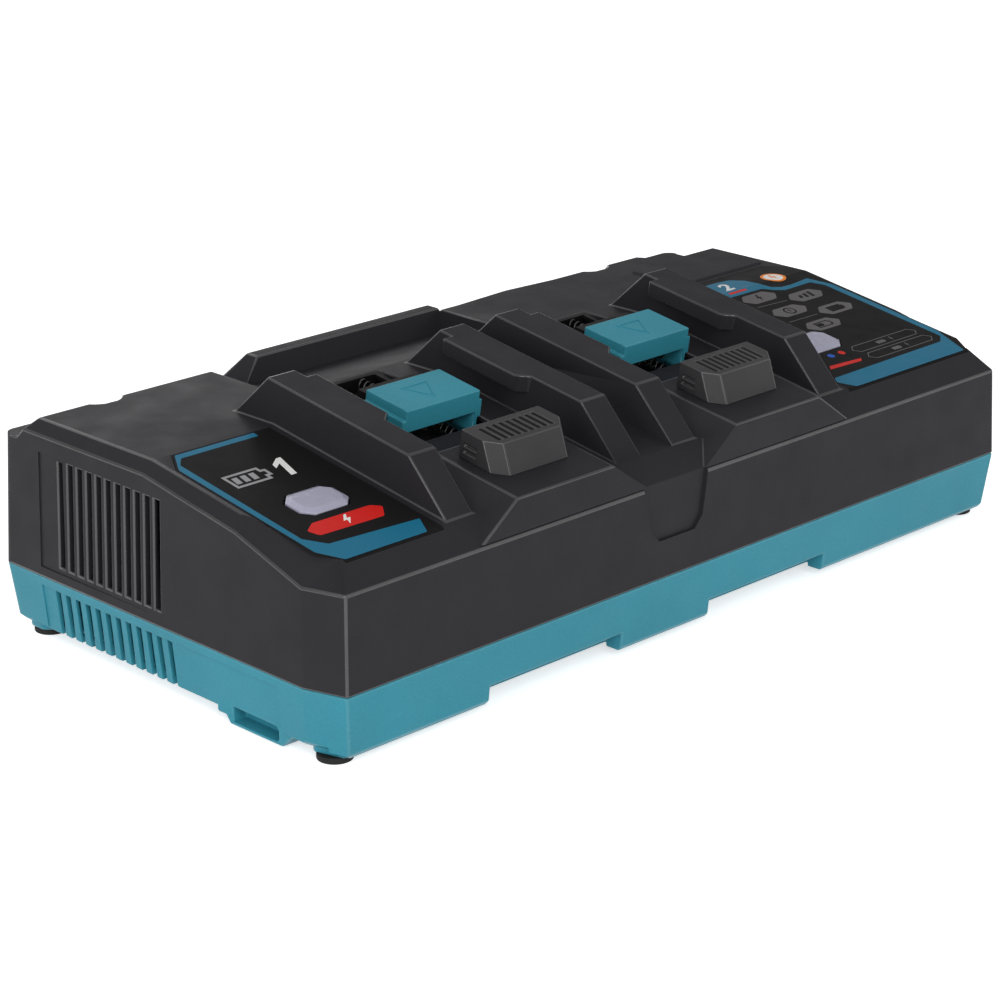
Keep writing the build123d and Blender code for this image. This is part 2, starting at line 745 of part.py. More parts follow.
with BuildPart() as upper_void:
    add(housing_form(SEAM_Z - WALL, WALL))
    add(valley_solid(WALL), mode=Mode.SUBTRACT)
    add(rear_scoops(WALL), mode=Mode.SUBTRACT)
    add(corner_step(WALL), mode=Mode.SUBTRACT)
    add(rear_pocket(WALL), mode=Mode.SUBTRACT)

with BuildPart() as upper_posts:
    with BuildSketch(Plane.XY.offset(SEAM_Z + POST_GAP)):
        with Locations(POST_PLACES):
            Circle(POST_RADIUS)
    extrude(amount=TOP_Z)
    add(upper_void.part, mode=Mode.INTERSECT)

with BuildPart() as upper_housing:
    add(housing_form(SEAM_Z, 0))
    for bay_x in BAYS.values():
        add(bay_hump(bay_x))
    add(rear_ridge())
    add(badge_pad())
    add(corner_step(0), mode=Mode.SUBTRACT)
    add(valley_solid(0), mode=Mode.SUBTRACT)
    add(rear_bar())
    add(upper_void.part, mode=Mode.SUBTRACT)
    for bay_x in BAYS.values():
        for hand in (-1, 1):
            add(guide_rail(bay_x, hand))
        add(window_box(bay_x, 0, -RAIL_HEIGHT, RAIL_HEIGHT), mode=Mode.SUBTRACT)
        add(spigot_box(bay_x, 0, -RAIL_HEIGHT, RAIL_HEIGHT), mode=Mode.SUBTRACT)
    for side in BAYS:
        add(label_solid(side, 0), mode=Mode.SUBTRACT)
        extrude(lens_outline(side, CLEARANCE), amount=-2 * WALL, mode=Mode.SUBTRACT)
    add(rear_scoops(0), mode=Mode.SUBTRACT)
    relief_low = UPPER_RELIEF_LOW_Z - SEAM_Z
    for hand in (-1, 1):
        with BuildSketch(Plane.YZ.offset(hand * LENGTH / 2)):
            vent_mid_z = (UPPER_VENT_BOTTOM_Z + UPPER_VENT_TOP_Z) / 2
            with Locations((VENT_MID_Y, vent_mid_z)):
                with GridLocations(UPPER_VENT_PITCH, 0, UPPER_VENT_COUNT, 1):
                    Rectangle(UPPER_VENT_WIDTH, UPPER_VENT_TOP_Z - UPPER_VENT_BOTTOM_Z)
        extrude(amount=-hand * VENT_CUT_DEPTH, mode=Mode.SUBTRACT)
        with BuildSketch(end_wall_plane(hand, SEAM_Z, UPPER_DRAFT).offset(relief_low)):
            with BuildLine():
                Polyline(
                    (-hand * UPPER_RELIEF_FRONT_Y, 0),
                    (-hand * UPPER_RELIEF_REAR_Y, -UPPER_RELIEF_DEPTH),
                    (-hand * UPPER_RELIEF_REAR_Y, UPPER_RELIEF_DEPTH),
                    (-hand * UPPER_RELIEF_FRONT_Y, UPPER_RELIEF_DEPTH),
                    close=True,
                )
            make_face()
        extrude(amount=UPPER_RELIEF_HIGH_Z - UPPER_RELIEF_LOW_Z, mode=Mode.SUBTRACT)
    with BuildSketch(Plane.XY.offset(TOP_Z)):
        with Locations((KEY_SLOT_PLACE[0], REAR_EDGE_Y - KEY_SLOT_PLACE[1])):
            Rectangle(KEY_SLOT[0], KEY_SLOT[1])
    extrude(amount=-KEY_SLOT[2], mode=Mode.SUBTRACT)
    face_tilt = radians(UPPER_DRAFT)
    front_face = Plane(
        origin=(BAY_MID_X, -DEPTH / 2, SEAM_Z),
        x_dir=(1, 0, 0),
        z_dir=(0, -cos(face_tilt), sin(face_tilt)),
    )
    recess_bottom = RECESS_BOTTOM_WIDTH / 2
    recess_shoulder = recess_bottom + RECESS_SHOULDER_Z - RECESS_BOTTOM_Z
    recess_edge_z = FRONT_EDGE_Z + RECESS_DEPTH
    with BuildSketch(front_face):
        with BuildLine():
            Polyline(
                (-recess_bottom, RECESS_BOTTOM_Z - SEAM_Z),
                (recess_bottom, RECESS_BOTTOM_Z - SEAM_Z),
                (recess_shoulder, RECESS_SHOULDER_Z - SEAM_Z),
                (RECESS_TOP_WIDTH / 2, recess_edge_z - SEAM_Z),
                (-RECESS_TOP_WIDTH / 2, recess_edge_z - SEAM_Z),
                (-recess_shoulder, RECESS_SHOULDER_Z - SEAM_Z),
                close=True,
            )
        make_face()
    extrude(amount=-RECESS_DEPTH, mode=Mode.SUBTRACT)
    add(upper_posts.part)
    with BuildSketch(Plane.XY.offset(SEAM_Z)):
        with Locations(POST_PLACES):
            Circle(SCREW_RADIUS + PILOT_CLEARANCE)
    extrude(amount=SCREW_REACH_ABOVE_SEAM + WALL, mode=Mode.SUBTRACT)
    add(bushing_hole(), mode=Mode.SUBTRACT)
    add(rear_pocket(0), mode=Mode.SUBTRACT)
upper_housing.part.label = "upper_housing"

# ---------------------------------------------------------------- lower housing

with BuildPart() as lower_void:
    add(drafted_block(FLOOR_TOP_Z, SEAM_Z + WALL, WALL))
    for low_x, high_x in (CUTOUT_LEFT_X, CUTOUT_RIGHT_X):
        with BuildSketch(Plane.YZ.offset(low_x - WALL)):
            with Locations((CUTOUT_DEPTH + WALL - DEPTH / 2, CUTOUT_TOP_Z + WALL)):
                Rectangle(DEPTH, DEPTH, align=(Align.MAX, Align.MAX))
        extrude(amount=high_x - low_x + 2 * WALL, mode=Mode.SUBTRACT)
    add(rear_pocket(WALL), mode=Mode.SUBTRACT)

with BuildPart() as foot_bosses:
    with BuildSketch(Plane.XY.offset(FOOT_HEIGHT)):
        with GridLocations(2 * FOOT_X, 2 * FOOT_Y, 2, 2):
            Circle(FOOT_BOSS_RADIUS)
    extrude(amount=FLOOR_TOP_Z - FOOT_HEIGHT)
    add(drafted_block(FOOT_HEIGHT, FLOOR_TOP_Z, BOTTOM_CHAMFER), mode=Mode.INTERSECT)

with BuildPart() as lower_housing:
    with BuildSketch(Plane.XY.offset(SKIRT_GAP)):
        with Locations((0, -DEPTH / 2)):
            Rectangle(LENGTH, 2 * CUTOUT_DEPTH)
    extrude(amount=BODY_BOTTOM_Z + BOTTOM_CHAMFER - SKIRT_GAP)
    add(chamfered_block(SKIRT_GAP), mode=Mode.INTERSECT)
    add(chamfered_block(BODY_BOTTOM_Z))
    add(lower_void.part, mode=Mode.SUBTRACT)
    for low_x, high_x in (CUTOUT_LEFT_X, CUTOUT_RIGHT_X):
        with BuildSketch(Plane.YZ.offset(low_x)):
            with Locations((CUTOUT_DEPTH - DEPTH / 2, CUTOUT_TOP_Z)):
                Rectangle(DEPTH, DEPTH, align=(Align.MAX, Align.MAX))
        extrude(amount=high_x - low_x, mode=Mode.SUBTRACT)
    for hand in (-1, 1):
        relief_plane = end_wall_plane(hand, 0, LOWER_DRAFT)
        relief_middle = -hand * (LOWER_RELIEF_FRONT_Y + LOWER_RELIEF_REAR_Y) / 2
        with BuildSketch(relief_plane):
            with Locations((relief_middle, 0)):
                Rectangle(LOWER_RELIEF_REAR_Y - LOWER_RELIEF_FRONT_Y, 2 * LOWER_RELIEF_DEPTH)
        extrude(amount=LOWER_RELIEF_TOP_Z, mode=Mode.SUBTRACT)
        with BuildSketch(Plane.YZ.offset(hand * LENGTH / 2)):
            with Locations((VENT_MID_Y, LOWER_VENT_TOP_Z)):
                with GridLocations(LOWER_VENT_PITCH, 0, LOWER_VENT_COUNT, 1):
                    Rectangle(LOWER_VENT_WIDTH, LENGTH, align=(Align.CENTER, Align.MAX))
        extrude(amount=-hand * VENT_CUT_DEPTH, mode=Mode.SUBTRACT)
    pocket_low_z = POCKET_BOTTOM_Z - POCKET_SKIN
    pocket_outer_x = LENGTH / 2 - inset_at(POCKET_BOTTOM_Z)
    with BuildSketch(Plane.YZ.offset(-pocket_outer_x)):
        with BuildLine():
            Polyline(
                (POCKET_FRONT_Y - 2 * POCKET_STEP, FLOOR_TOP_Z),
                (POCKET_FRONT_Y - POCKET_STEP, pocket_low_z + POCKET_STEP / 2),
                (POCKET_FRONT_Y - POCKET_STEP / 2, pocket_low_z),
                (POCKET_REAR_Y + POCKET_STEP / 2, pocket_low_z),
                (POCKET_REAR_Y + POCKET_STEP, POCKET_STEP_Z),
                (POCKET_REAR_Y + 2 * POCKET_STEP, POCKET_STEP_Z),
                (POCKET_REAR_Y + 2 * POCKET_STEP, POCKET_TOP_Z + WALL),
                (POCKET_FRONT_Y - 2 * POCKET_STEP, POCKET_TOP_Z + WALL),
                close=True,
            )
        make_face()
    extrude(amount=POCKET_DEPTH + WALL)
    with BuildSketch(Plane.YZ.offset(POCKET_DEPTH - pocket_outer_x)):
        with BuildLine():
            Polyline(
                (POCKET_FRONT_Y, POCKET_BOTTOM_Z),
                (POCKET_REAR_Y, POCKET_BOTTOM_Z),
                (POCKET_REAR_Y, POCKET_TOP_Z),
                (POCKET_FRONT_Y + POCKET_SKIN, POCKET_TOP_Z),
                (POCKET_FRONT_Y, POCKET_TOP_Z - POCKET_SKIN),
                close=True,
            )
        make_face()
    extrude(amount=-2 * POCKET_DEPTH, mode=Mode.SUBTRACT)
    add(foot_bosses.part)
    with BuildSketch(Plane.XY.offset(BODY_BOTTOM_Z + WALL / 2)):
        with Locations(POST_PLACES):
            Circle(POST_RADIUS)
    extrude(amount=SEAM_Z - BODY_BOTTOM_Z - WALL / 2)
    with BuildSketch(Plane.XY.offset(FLOOR_TOP_Z - WALL / 2)):
        with Locations(STANDOFF_PLACES):
            Circle(STANDOFF_RADIUS)
    extrude(amount=STANDOFF_HEIGHT + WALL / 2)
    with BuildSketch(Plane.XY.offset(BOARD_Z)):
        with Locations(STANDOFF_PLACES):
            Circle(STANDOFF_PEG_RADIUS)
    extrude(amount=2 * BOARD_THICKNESS)
    rib_bottom_z = FLOOR_TOP_Z - WALL / 2
    with BuildSketch(Plane.XY.offset(rib_bottom_z)):
        for hand in (-1, 1):
            with Locations((hand * (fan_outer_x - FAN_DEPTH / 2), VENT_MID_Y)):
                with GridLocations(0, FAN_RIB_SPACING, 1, 2):
                    Rectangle(FAN_DEPTH, WALL)
    extrude(amount=FAN_Z - FAN_SIZE / 2 - rib_bottom_z)
    with Locations([Plane(origin=(x, y, BODY_BOTTOM_Z), z_dir=(0, 0, -1)) for x, y in POST_PLACES]):
        CounterBoreHole(SCREW_RADIUS + CLEARANCE, SCREW_HEAD_RADIUS + CLEARANCE, SCREW_HEAD_DEPTH)
    with BuildSketch(Plane.XY.offset(FOOT_HEIGHT)):
        with GridLocations(2 * FOOT_X, 2 * FOOT_Y, 2, 2):
            Circle(FOOT_PEG_RADIUS)
    extrude(amount=FOOT_PEG_HEIGHT, mode=Mode.SUBTRACT)
    add(bushing_hole(), mode=Mode.SUBTRACT)
    add(rear_pocket(0), mode=Mode.SUBTRACT)
lower_housing.part.label = "lower_housing"

# ---------------------------------------------------------------- feet and screws

with BuildPart() as rubber_feet:
    with BuildSketch():
        with GridLocations(2 * FOOT_X, 2 * FOOT_Y, 2, 2):
            Circle(FOOT_RADIUS)
    extrude(amount=FOOT_HEIGHT)
    with BuildSketch(Plane.XY.offset(FOOT_HEIGHT)):
        with GridLocations(2 * FOOT_X, 2 * FOOT_Y, 2, 2):
            Circle(FOOT_PEG_RADIUS)
    extrude(amount=FOOT_PEG_HEIGHT)
rubber_feet.part.label = "rubber_feet"

with BuildPart() as housing_screws:
    screw_seat_z = BODY_BOTTOM_Z + SCREW_HEAD_DEPTH
    with BuildSketch(Plane.XY.offset(screw_seat_z - SCREW_HEAD_HEIGHT)):
        with Locations(POST_PLACES):
            Circle(SCREW_HEAD_RADIUS)
    extrude(amount=SCREW_HEAD_HEIGHT)
    with BuildSketch(Plane.XY.offset(screw_seat_z)):
        with Locations(POST_PLACES):
            Circle(SCREW_RADIUS)
    extrude(amount=SEAM_Z + SCREW_REACH_ABOVE_SEAM - screw_seat_z)
housing_screws.part.label = "housing_screws"

with BuildPart() as cord_bushing:
    wall_outer_y = DEPTH / 2 - REAR_POCKET_DEPTH
    flange_outer_y = wall_outer_y + BUSHING_FLANGE
    flange_inner_y = wall_outer_y - WALL - BUSHING_FLANGE
    with BuildSketch(Plane(origin=(BUSHING_X, 0, SEAM_Z), x_dir=(1, 0, 0), z_dir=(0, 0, 1))):
        neck = BUSHING_NECK_RADIUS - BUSHING_NECK_CLEARANCE
        with BuildLine():
            Polyline(
                (BUSHING_BORE_RADIUS, flange_inner_y),
                (BUSHING_FLANGE_RADIUS, flange_inner_y),
                (BUSHING_FLANGE_RADIUS, wall_outer_y - WALL),
                (neck, wall_outer_y - WALL),
                (neck, wall_outer_y),
                (BUSHING_FLANGE_RADIUS, wall_outer_y),
                (BUSHING_FLANGE_RADIUS, flange_outer_y),
                (BUSHING_BORE_RADIUS, flange_outer_y),
                close=True,
            )
        make_face()
    revolve(axis=Axis((BUSHING_X, 0, SEAM_Z), (0, 1, 0)))
cord_bushing.part.label = "cord_bushing"

# ---------------------------------------------------------------- main board

with BuildPart() as main_circuit_board:
    with BuildSketch(Plane.XY.offset(BOARD_Z)):
        with Locations((0, (BOARD_FRONT_Y + BOARD_REAR_Y) / 2)):
            Rectangle(BOARD_LENGTH, BOARD_REAR_Y - BOARD_FRONT_Y)
        with Locations(STANDOFF_PLACES):
            Circle(STANDOFF_PEG_RADIUS + CLEARANCE / 2, mode=Mode.SUBTRACT)
    extrude(amount=BOARD_THICKNESS)
main_circuit_board.part.label = "main_circuit_board"

core_length, core_depth, core_height = CORE_SIZE
window_length = (core_length - 2 * CORE_LIMB - CORE_MIDDLE_LIMB) / 2
window_offset = (CORE_MIDDLE_LIMB + window_length) / 2
with BuildPart() as transformer_core:
    with BuildSketch(Plane.XZ.offset(-CORE_PLACE[1])):
        with Locations((CORE_PLACE[0], BOARD_TOP_Z)):
            Rectangle(core_length, core_height, align=(Align.CENTER, Align.MIN))
        for hand in (-1, 1):
            with Locations((CORE_PLACE[0] + hand * window_offset, BOARD_TOP_Z + core_height / 2)):
                Rectangle(window_length, core_height - 2 * CORE_LIMB, mode=Mode.SUBTRACT)
    extrude(amount=core_depth / 4, both=True)
transformer_core.part.label = "transformer_core"

with BuildPart() as transformer_winding:
    with BuildSketch(Plane.XY.offset(BOARD_TOP_Z + CORE_LIMB + WINDING_GAP)):
        with Locations(CORE_PLACE):
            RectangleRounded(
                CORE_MIDDLE_LIMB + 2 * window_length - 2 * WINDING_GAP,
                core_depth,
                window_length / 2,
            )
            Rectangle(
                CORE_MIDDLE_LIMB + 2 * WINDING_GAP,
                core_depth / 2 + 2 * WINDING_GAP,
                mode=Mode.SUBTRACT,
            )
    extrude(amount=core_height - 2 * CORE_LIMB - 2 * WINDING_GAP)
transformer_winding.part.label = "transformer_winding"

with BuildPart() as filter_capacitors:
    with BuildSketch(Plane.XY.offset(BOARD_TOP_Z)):
        with Locations(CAPACITOR_PLACE):
            with GridLocations(CAPACITOR_SPACING, 0, 3, 1):
                Circle(CAPACITOR_RADIUS)
    extrude(amount=CAPACITOR_HEIGHT)
filter_capacitors.part.label = "filter_capacitors"

with BuildPart() as line_filter_choke:
    with BuildSketch(Plane.XY.offset(BOARD_TOP_Z)):
        with Locations(CHOKE_PLACE):
            Circle(CHOKE_RADIUS)
            Circle(CHOKE_HOLE_RADIUS, mode=Mode.SUBTRACT)
    extrude(amount=CHOKE_HEIGHT)
    fillet(line_filter_choke.edges().group_by(Axis.Z)[-1], WALL)
line_filter_choke.part.label = "line_filter_choke"

with BuildPart() as line_fuse:
    fuse_x, fuse_y = FUSE_PLACE
    with BuildSketch(Plane.YZ.offset(fuse_x - FUSE_LENGTH / 2)):
        with Locations((fuse_y, BOARD_TOP_Z + FUSE_RADIUS + RUNNING_GAP)):
            Circle(FUSE_RADIUS)
    extrude(amount=FUSE_LENGTH)
    with BuildSketch(Plane.XY.offset(BOARD_TOP_Z)):
        with Locations(FUSE_PLACE):
            with GridLocations(FUSE_LENGTH - FUSE_CAP, 0, 2, 1):
                Rectangle(FUSE_CAP, 2 * FUSE_RADIUS)
    extrude(amount=FUSE_RADIUS)
line_fuse.part.label = "line_fuse"

os.makedirs("parts", exist_ok=True)
for part in (
    upper_housing,
    lower_housing,
    rubber_feet,
    housing_screws,
    cord_bushing,
    main_circuit_board,
    transformer_core,
    transformer_winding,
    filter_capacitors,
    line_filter_choke,
    line_fuse,
):
    export_step(part.part, f"parts/{part.part.label}.step")

# ---------------------------------------------------------------- pieces of each side

for side, bay_x in BAYS.items():
    hand = OUTWARD[side]

    with BuildPart() as label_plate:
        add(label_solid(side, CLEARANCE))
        extrude(lens_outline(side, CLEARANCE), amount=-WALL, mode=Mode.SUBTRACT)
    label_plate.part.label = f"{side}_label_plate"
    export_step(label_plate.part, f"parts/{label_plate.part.label}.step")

    with BuildPart() as indicator_lens:
        extrude(lens_outline(side, 0), amount=LENS_HEIGHT)
        chamfer(indicator_lens.faces().sort_by(OFF_SLOPE)[-1].edges(), LENS_HEIGHT / 2)
        extrude(lens_outline(side, 0), amount=-LENS_STEM)
    indicator_lens.part.label = f"{side}_indicator_lens"
    export_step(indicator_lens.part, f"parts/{indicator_lens.part.label}.step")

    with BuildPart() as indicator_board:
        lens_x = bay_x + hand * LENS_OFFSET_X
        board_plane = slope_plane(lens_x, LENS_Y).offset(-LENS_STEM - 2 * INDICATOR_LED_RADIUS)
        with BuildSketch(board_plane):
            Rectangle(*INDICATOR_BOARD)
        extrude(amount=-BOARD_THICKNESS)
        with BuildSketch(board_plane):
            with GridLocations(LENS_WIDTH / 2, 0, 2, 1):
                Circle(INDICATOR_LED_RADIUS)
        extrude(amount=2 * INDICATOR_LED_RADIUS - RUNNING_GAP)
    indicator_board.part.label = f"{side}_indicator_board"
    export_step(indicator_board.part, f"parts/{indicator_board.part.label}.step")

    with BuildPart() as air_vent:
        with BuildSketch(slope_profile(bay_x - AIR_VENT_WIDTH / 2)):
            with BuildLine():
                Polyline(
                    (AIR_VENT_FRONT, HUMP_HEIGHT),
                    (AIR_VENT_FRONT + AIR_VENT_LEAN, AIR_VENT_TOP),
                    (AIR_VENT_REAR, AIR_VENT_TOP),
                    (AIR_VENT_REAR, HUMP_HEIGHT),
                    close=True,
                )
            make_face()
        extrude(amount=AIR_VENT_WIDTH)
        upright_edges = air_vent.edges().filter_by(Axis.X, reverse=True)
        front_uprights = upright_edges.sort_by(Axis.Y)[:2]
        chamfer(front_uprights, AIR_VENT_CORNER)
        add(spigot_box(bay_x, CLEARANCE, 0, HUMP_HEIGHT))
        duct = spigot_box(bay_x, CLEARANCE + AIR_VENT_SKIN, -WALL, AIR_VENT_TOP - AIR_VENT_SKIN)
        add(duct, mode=Mode.SUBTRACT)
        vent_top_middle = (AIR_VENT_FRONT + AIR_VENT_LEAN + AIR_VENT_REAR) / 2
        with BuildSketch(slope_plane(bay_x, vent_top_middle).offset(AIR_VENT_TOP)):
            with GridLocations(AIR_SLOT_PITCH, 0, AIR_SLOT_COUNT, 1):
                Rectangle(AIR_SLOT_WIDTH, AIR_SLOT_LENGTH)
        extrude(amount=-2 * AIR_VENT_SKIN, mode=Mode.SUBTRACT)
        slot_length, slot_height, slot_depth = AIR_SIDE_SLOT
        for edge in (-1, 1):
            with BuildSketch(slope_profile(bay_x + edge * (AIR_VENT_WIDTH / 2 - slot_depth))):
                with Locations(AIR_SIDE_SLOT_PLACE):
                    with GridLocations(0, AIR_SIDE_SLOT_PITCH, 1, 2):
                        Rectangle(slot_length, slot_height)
            extrude(amount=edge * 2 * slot_depth, mode=Mode.SUBTRACT)
    air_vent.part.label = f"{side}_air_vent"
    export_step(air_vent.part, f"parts/{air_vent.part.label}.step")

    cover_middle = COVER_FRONT + COVER_LENGTH / 2
    with BuildPart() as terminal_cover:
        with BuildSketch(slope_plane(bay_x, cover_middle).offset(COVER_TOP)):
            Rectangle(COVER_WIDTH, COVER_LENGTH)
        extrude(amount=RUNNER_BOTTOM - COVER_TOP)
        with BuildSketch(slope_plane(bay_x, cover_middle).offset(COVER_SKIRT_TOP)):
            Rectangle(COVER_WIDTH + 2 * COVER_SKIRT, COVER_LENGTH)
        extrude(amount=COVER_SKIRT_BOTTOM - COVER_SKIRT_TOP)
        with BuildSketch(slope_plane(bay_x, cover_middle).offset(RUNNER_BOTTOM)):
            Rectangle(COVER_WIDTH + 2 * RUNNER_REACH, COVER_LENGTH)
        extrude(amount=RUNNER_THICKNESS)
        with BuildSketch(slope_plane(bay_x, COVER_FRONT + COVER_WALL).offset(COVER_TOP - COVER_WALL)):
            Rectangle(COVER_WIDTH - 2 * COVER_WALL, COVER_LENGTH, align=(Align.CENTER, Align.MIN))
        extrude(amount=RUNNER_BOTTOM - COVER_TOP, mode=Mode.SUBTRACT)
        front_bottom = COVER_TOP - COVER_FRONT_DROP
        with BuildSketch(slope_plane(bay_x, COVER_FRONT).offset(front_bottom)):
            Rectangle(COVER_WIDTH - 2 * COVER_WALL, 2 * COVER_WALL)
        extrude(amount=RUNNER_BOTTOM - front_bottom, mode=Mode.SUBTRACT)
        with BuildSketch(slope_plane(bay_x, COVER_FRONT + COVER_WALL / 2).offset(front_bottom)):
            with GridLocations(2 * SPRING_OFFSET, 0, 2, 1):
                Rectangle(TONGUE_WIDTH, COVER_WALL)
        extrude(amount=RUNNER_BOTTOM - front_bottom)
        with BuildSketch(slope_plane(bay_x, COVER_FRONT).offset(RUNNER_BOTTOM)):
            with GridLocations(BLADE_SPACING, 0, BLADE_COUNT, 1):
                Rectangle(BLADE_THICKNESS + 2 * RUNNING_GAP, 3 * COVER_WALL)
        extrude(amount=BLADE_TOP + RUNNING_GAP - RUNNER_BOTTOM, mode=Mode.SUBTRACT)
    terminal_cover.part.label = f"{side}_terminal_cover"
    export_step(terminal_cover.part, f"parts/{terminal_cover.part.label}.step")

    with BuildPart() as terminal_block:
        add(window_box(bay_x, RUNNING_GAP, BLOCK_FLOOR - BLOCK_FLOOR_THICKNESS, BLOCK_RIM))
        flange_bottom = BLOCK_FLOOR - BLOCK_FLOOR_THICKNESS
        add(window_box(bay_x, -BLOCK_FLANGE_REACH, flange_bottom, BLOCK_FLANGE_TOP))
        channel_front = COVER_FRONT - RUNNING_GAP
        channel_length = CHANNEL_REAR - channel_front
        with BuildSketch(slope_plane(bay_x, channel_front).offset(BLOCK_FLOOR)):
            Rectangle(COVER_WIDTH + 2 * RUNNING_GAP, channel_length, align=(Align.CENTER, Align.MIN))
        extrude(amount=BLOCK_RIM - BLOCK_FLOOR, mode=Mode.SUBTRACT)
        groove_width = COVER_WIDTH + 2 * RUNNER_REACH + 2 * RUNNING_GAP
        with BuildSketch(slope_plane(bay_x, channel_front).offset(RUNNER_BOTTOM - RUNNING_GAP)):
            Rectangle(groove_width, channel_length, align=(Align.CENTER, Align.MIN))
        extrude(amount=RUNNER_THICKNESS + 2 * RUNNING_GAP, mode=Mode.SUBTRACT)
        with BuildSketch(slope_plane(bay_x, CONTACT_BAR_FRONT).offset(BLOCK_FLOOR)):
            Rectangle(CONTACT_BAR_WIDTH, CONTACT_BAR_THICKNESS, align=(Align.CENTER, Align.MIN))
        extrude(amount=CONTACT_BAR_TOP - BLOCK_FLOOR)
        with BuildSketch(slope_section(bay_x, CONTACT_BAR_FRONT + CONTACT_BAR_THICKNESS)):
            with Locations((-SPRING_OFFSET, SPRING_HEIGHT), (SPRING_OFFSET, SPRING_HEIGHT)):
                Circle(SPRING_RADIUS + SPRING_WIRE)
        extrude(amount=CONTACT_BAR_THICKNESS, mode=Mode.SUBTRACT)
        with BuildSketch(slope_plane(bay_x, CONTACT_BAR_FRONT).offset(BLADE_BOTTOM)):
            with GridLocations(BLADE_SPACING, 0, BLADE_COUNT, 1):
                Rectangle(BLADE_THICKNESS, CONTACT_BAR_THICKNESS)
        extrude(amount=BLADE_TOP - BLADE_BOTTOM, mode=Mode.SUBTRACT)
    terminal_block.part.label = f"{side}_terminal_block"
    export_step(terminal_block.part, f"parts/{terminal_block.part.label}.step")

    with BuildPart() as terminal_blades:
        blade_end = CONTACT_BAR_FRONT + CONTACT_BAR_THICKNESS / 2
        blade_length = BLADE_REACH + CONTACT_BAR_THICKNESS / 2
        with BuildSketch(slope_plane(bay_x, blade_end).offset(BLADE_BOTTOM)):
            with GridLocations(BLADE_SPACING, 0, BLADE_COUNT, 1):
                Rectangle(BLADE_THICKNESS, blade_length, align=(Align.CENTER, Align.MAX))
        extrude(amount=BLADE_TOP - BLADE_BOTTOM)
    terminal_blades.part.label = f"{side}_terminal_blades"
    export_step(terminal_blades.part, f"parts/{terminal_blades.part.label}.step")

    with BuildPart() as cover_springs:
        spring_front = COVER_FRONT + COVER_WALL + RUNNING_GAP
        spring_rear = CHANNEL_REAR - RUNNING_GAP
        with BuildSketch(slope_section(bay_x, spring_front)):
            with Locations((-SPRING_OFFSET, SPRING_HEIGHT), (SPRING_OFFSET, SPRING_HEIGHT)):
                Circle(SPRING_RADIUS)
                Circle(SPRING_RADIUS - SPRING_WIRE, mode=Mode.SUBTRACT)
        extrude(amount=-(spring_rear - spring_front))
    cover_springs.part.label = f"{side}_cover_springs"
    export_step(cover_springs.part, f"parts/{cover_springs.part.label}.step")

    with BuildPart() as fan_frame:
        with BuildSketch(Plane.YZ.offset(hand * fan_outer_x)):
            with Locations((VENT_MID_Y, FAN_Z)):
                RectangleRounded(FAN_SIZE, FAN_SIZE, FAN_STRUT_WIDTH)
                Circle(FAN_BORE_RADIUS, mode=Mode.SUBTRACT)
        extrude(amount=-hand * FAN_DEPTH)
        with BuildSketch(Plane.YZ.offset(hand * fan_outer_x)):
            with Locations((VENT_MID_Y, FAN_Z)):
                Circle(FAN_HUB_RADIUS)
                with PolarLocations(FAN_BORE_RADIUS / 2, 4):
                    Rectangle(FAN_BORE_RADIUS + FAN_PIN_RADIUS, FAN_STRUT_WIDTH)
        extrude(amount=-hand * FAN_STRUT_DEPTH)
        with BuildSketch(Plane.YZ.offset(hand * (fan_outer_x - FAN_STRUT_DEPTH))):
            with Locations((VENT_MID_Y, FAN_Z)):
                Circle(FAN_PIN_RADIUS)
        extrude(amount=-hand * FAN_HUB_LENGTH)
    fan_frame.part.label = f"{side}_fan_frame"
    export_step(fan_frame.part, f"parts/{fan_frame.part.label}.step")

    rotor_outer_x = fan_outer_x - FAN_STRUT_DEPTH - RUNNING_GAP
    rotor_plane = Plane(origin=(hand * rotor_outer_x, VENT_MID_Y, FAN_Z), z_dir=(-hand, 0, 0))
    with BuildPart() as fan_rotor:
        with BuildSketch(rotor_plane):
            Circle(FAN_HUB_RADIUS)
        extrude(amount=FAN_HUB_LENGTH)
        blade_span = FAN_BLADE_RADIUS - FAN_HUB_RADIUS / 2
        for index in range(FAN_BLADES):
            spoke = rotor_plane.rotated((0, 0, index * 360 / FAN_BLADES)).offset(FAN_HUB_LENGTH / 2)
            blade_plane = Plane(
                origin=spoke.origin + spoke.x_dir * FAN_HUB_RADIUS / 2,
                x_dir=spoke.y_dir,
                z_dir=spoke.x_dir,
            )
            with BuildSketch(blade_plane.rotated((0, 0, FAN_BLADE_PITCH))):
                Rectangle(FAN_HUB_LENGTH, FAN_BLADE_THICKNESS)
            extrude(amount=blade_span)
        with BuildSketch(rotor_plane):
            Circle(FAN_BLADE_RADIUS)
        extrude(amount=FAN_HUB_LENGTH, mode=Mode.INTERSECT)
        with BuildSketch(rotor_plane):
            Circle(FAN_PIN_RADIUS + FAN_PIN_CLEARANCE)
        extrude(amount=FAN_HUB_LENGTH, mode=Mode.SUBTRACT)
    fan_rotor.part.label = f"{side}_fan_rotor"
    export_step(fan_rotor.part, f"parts/{fan_rotor.part.label}.step")

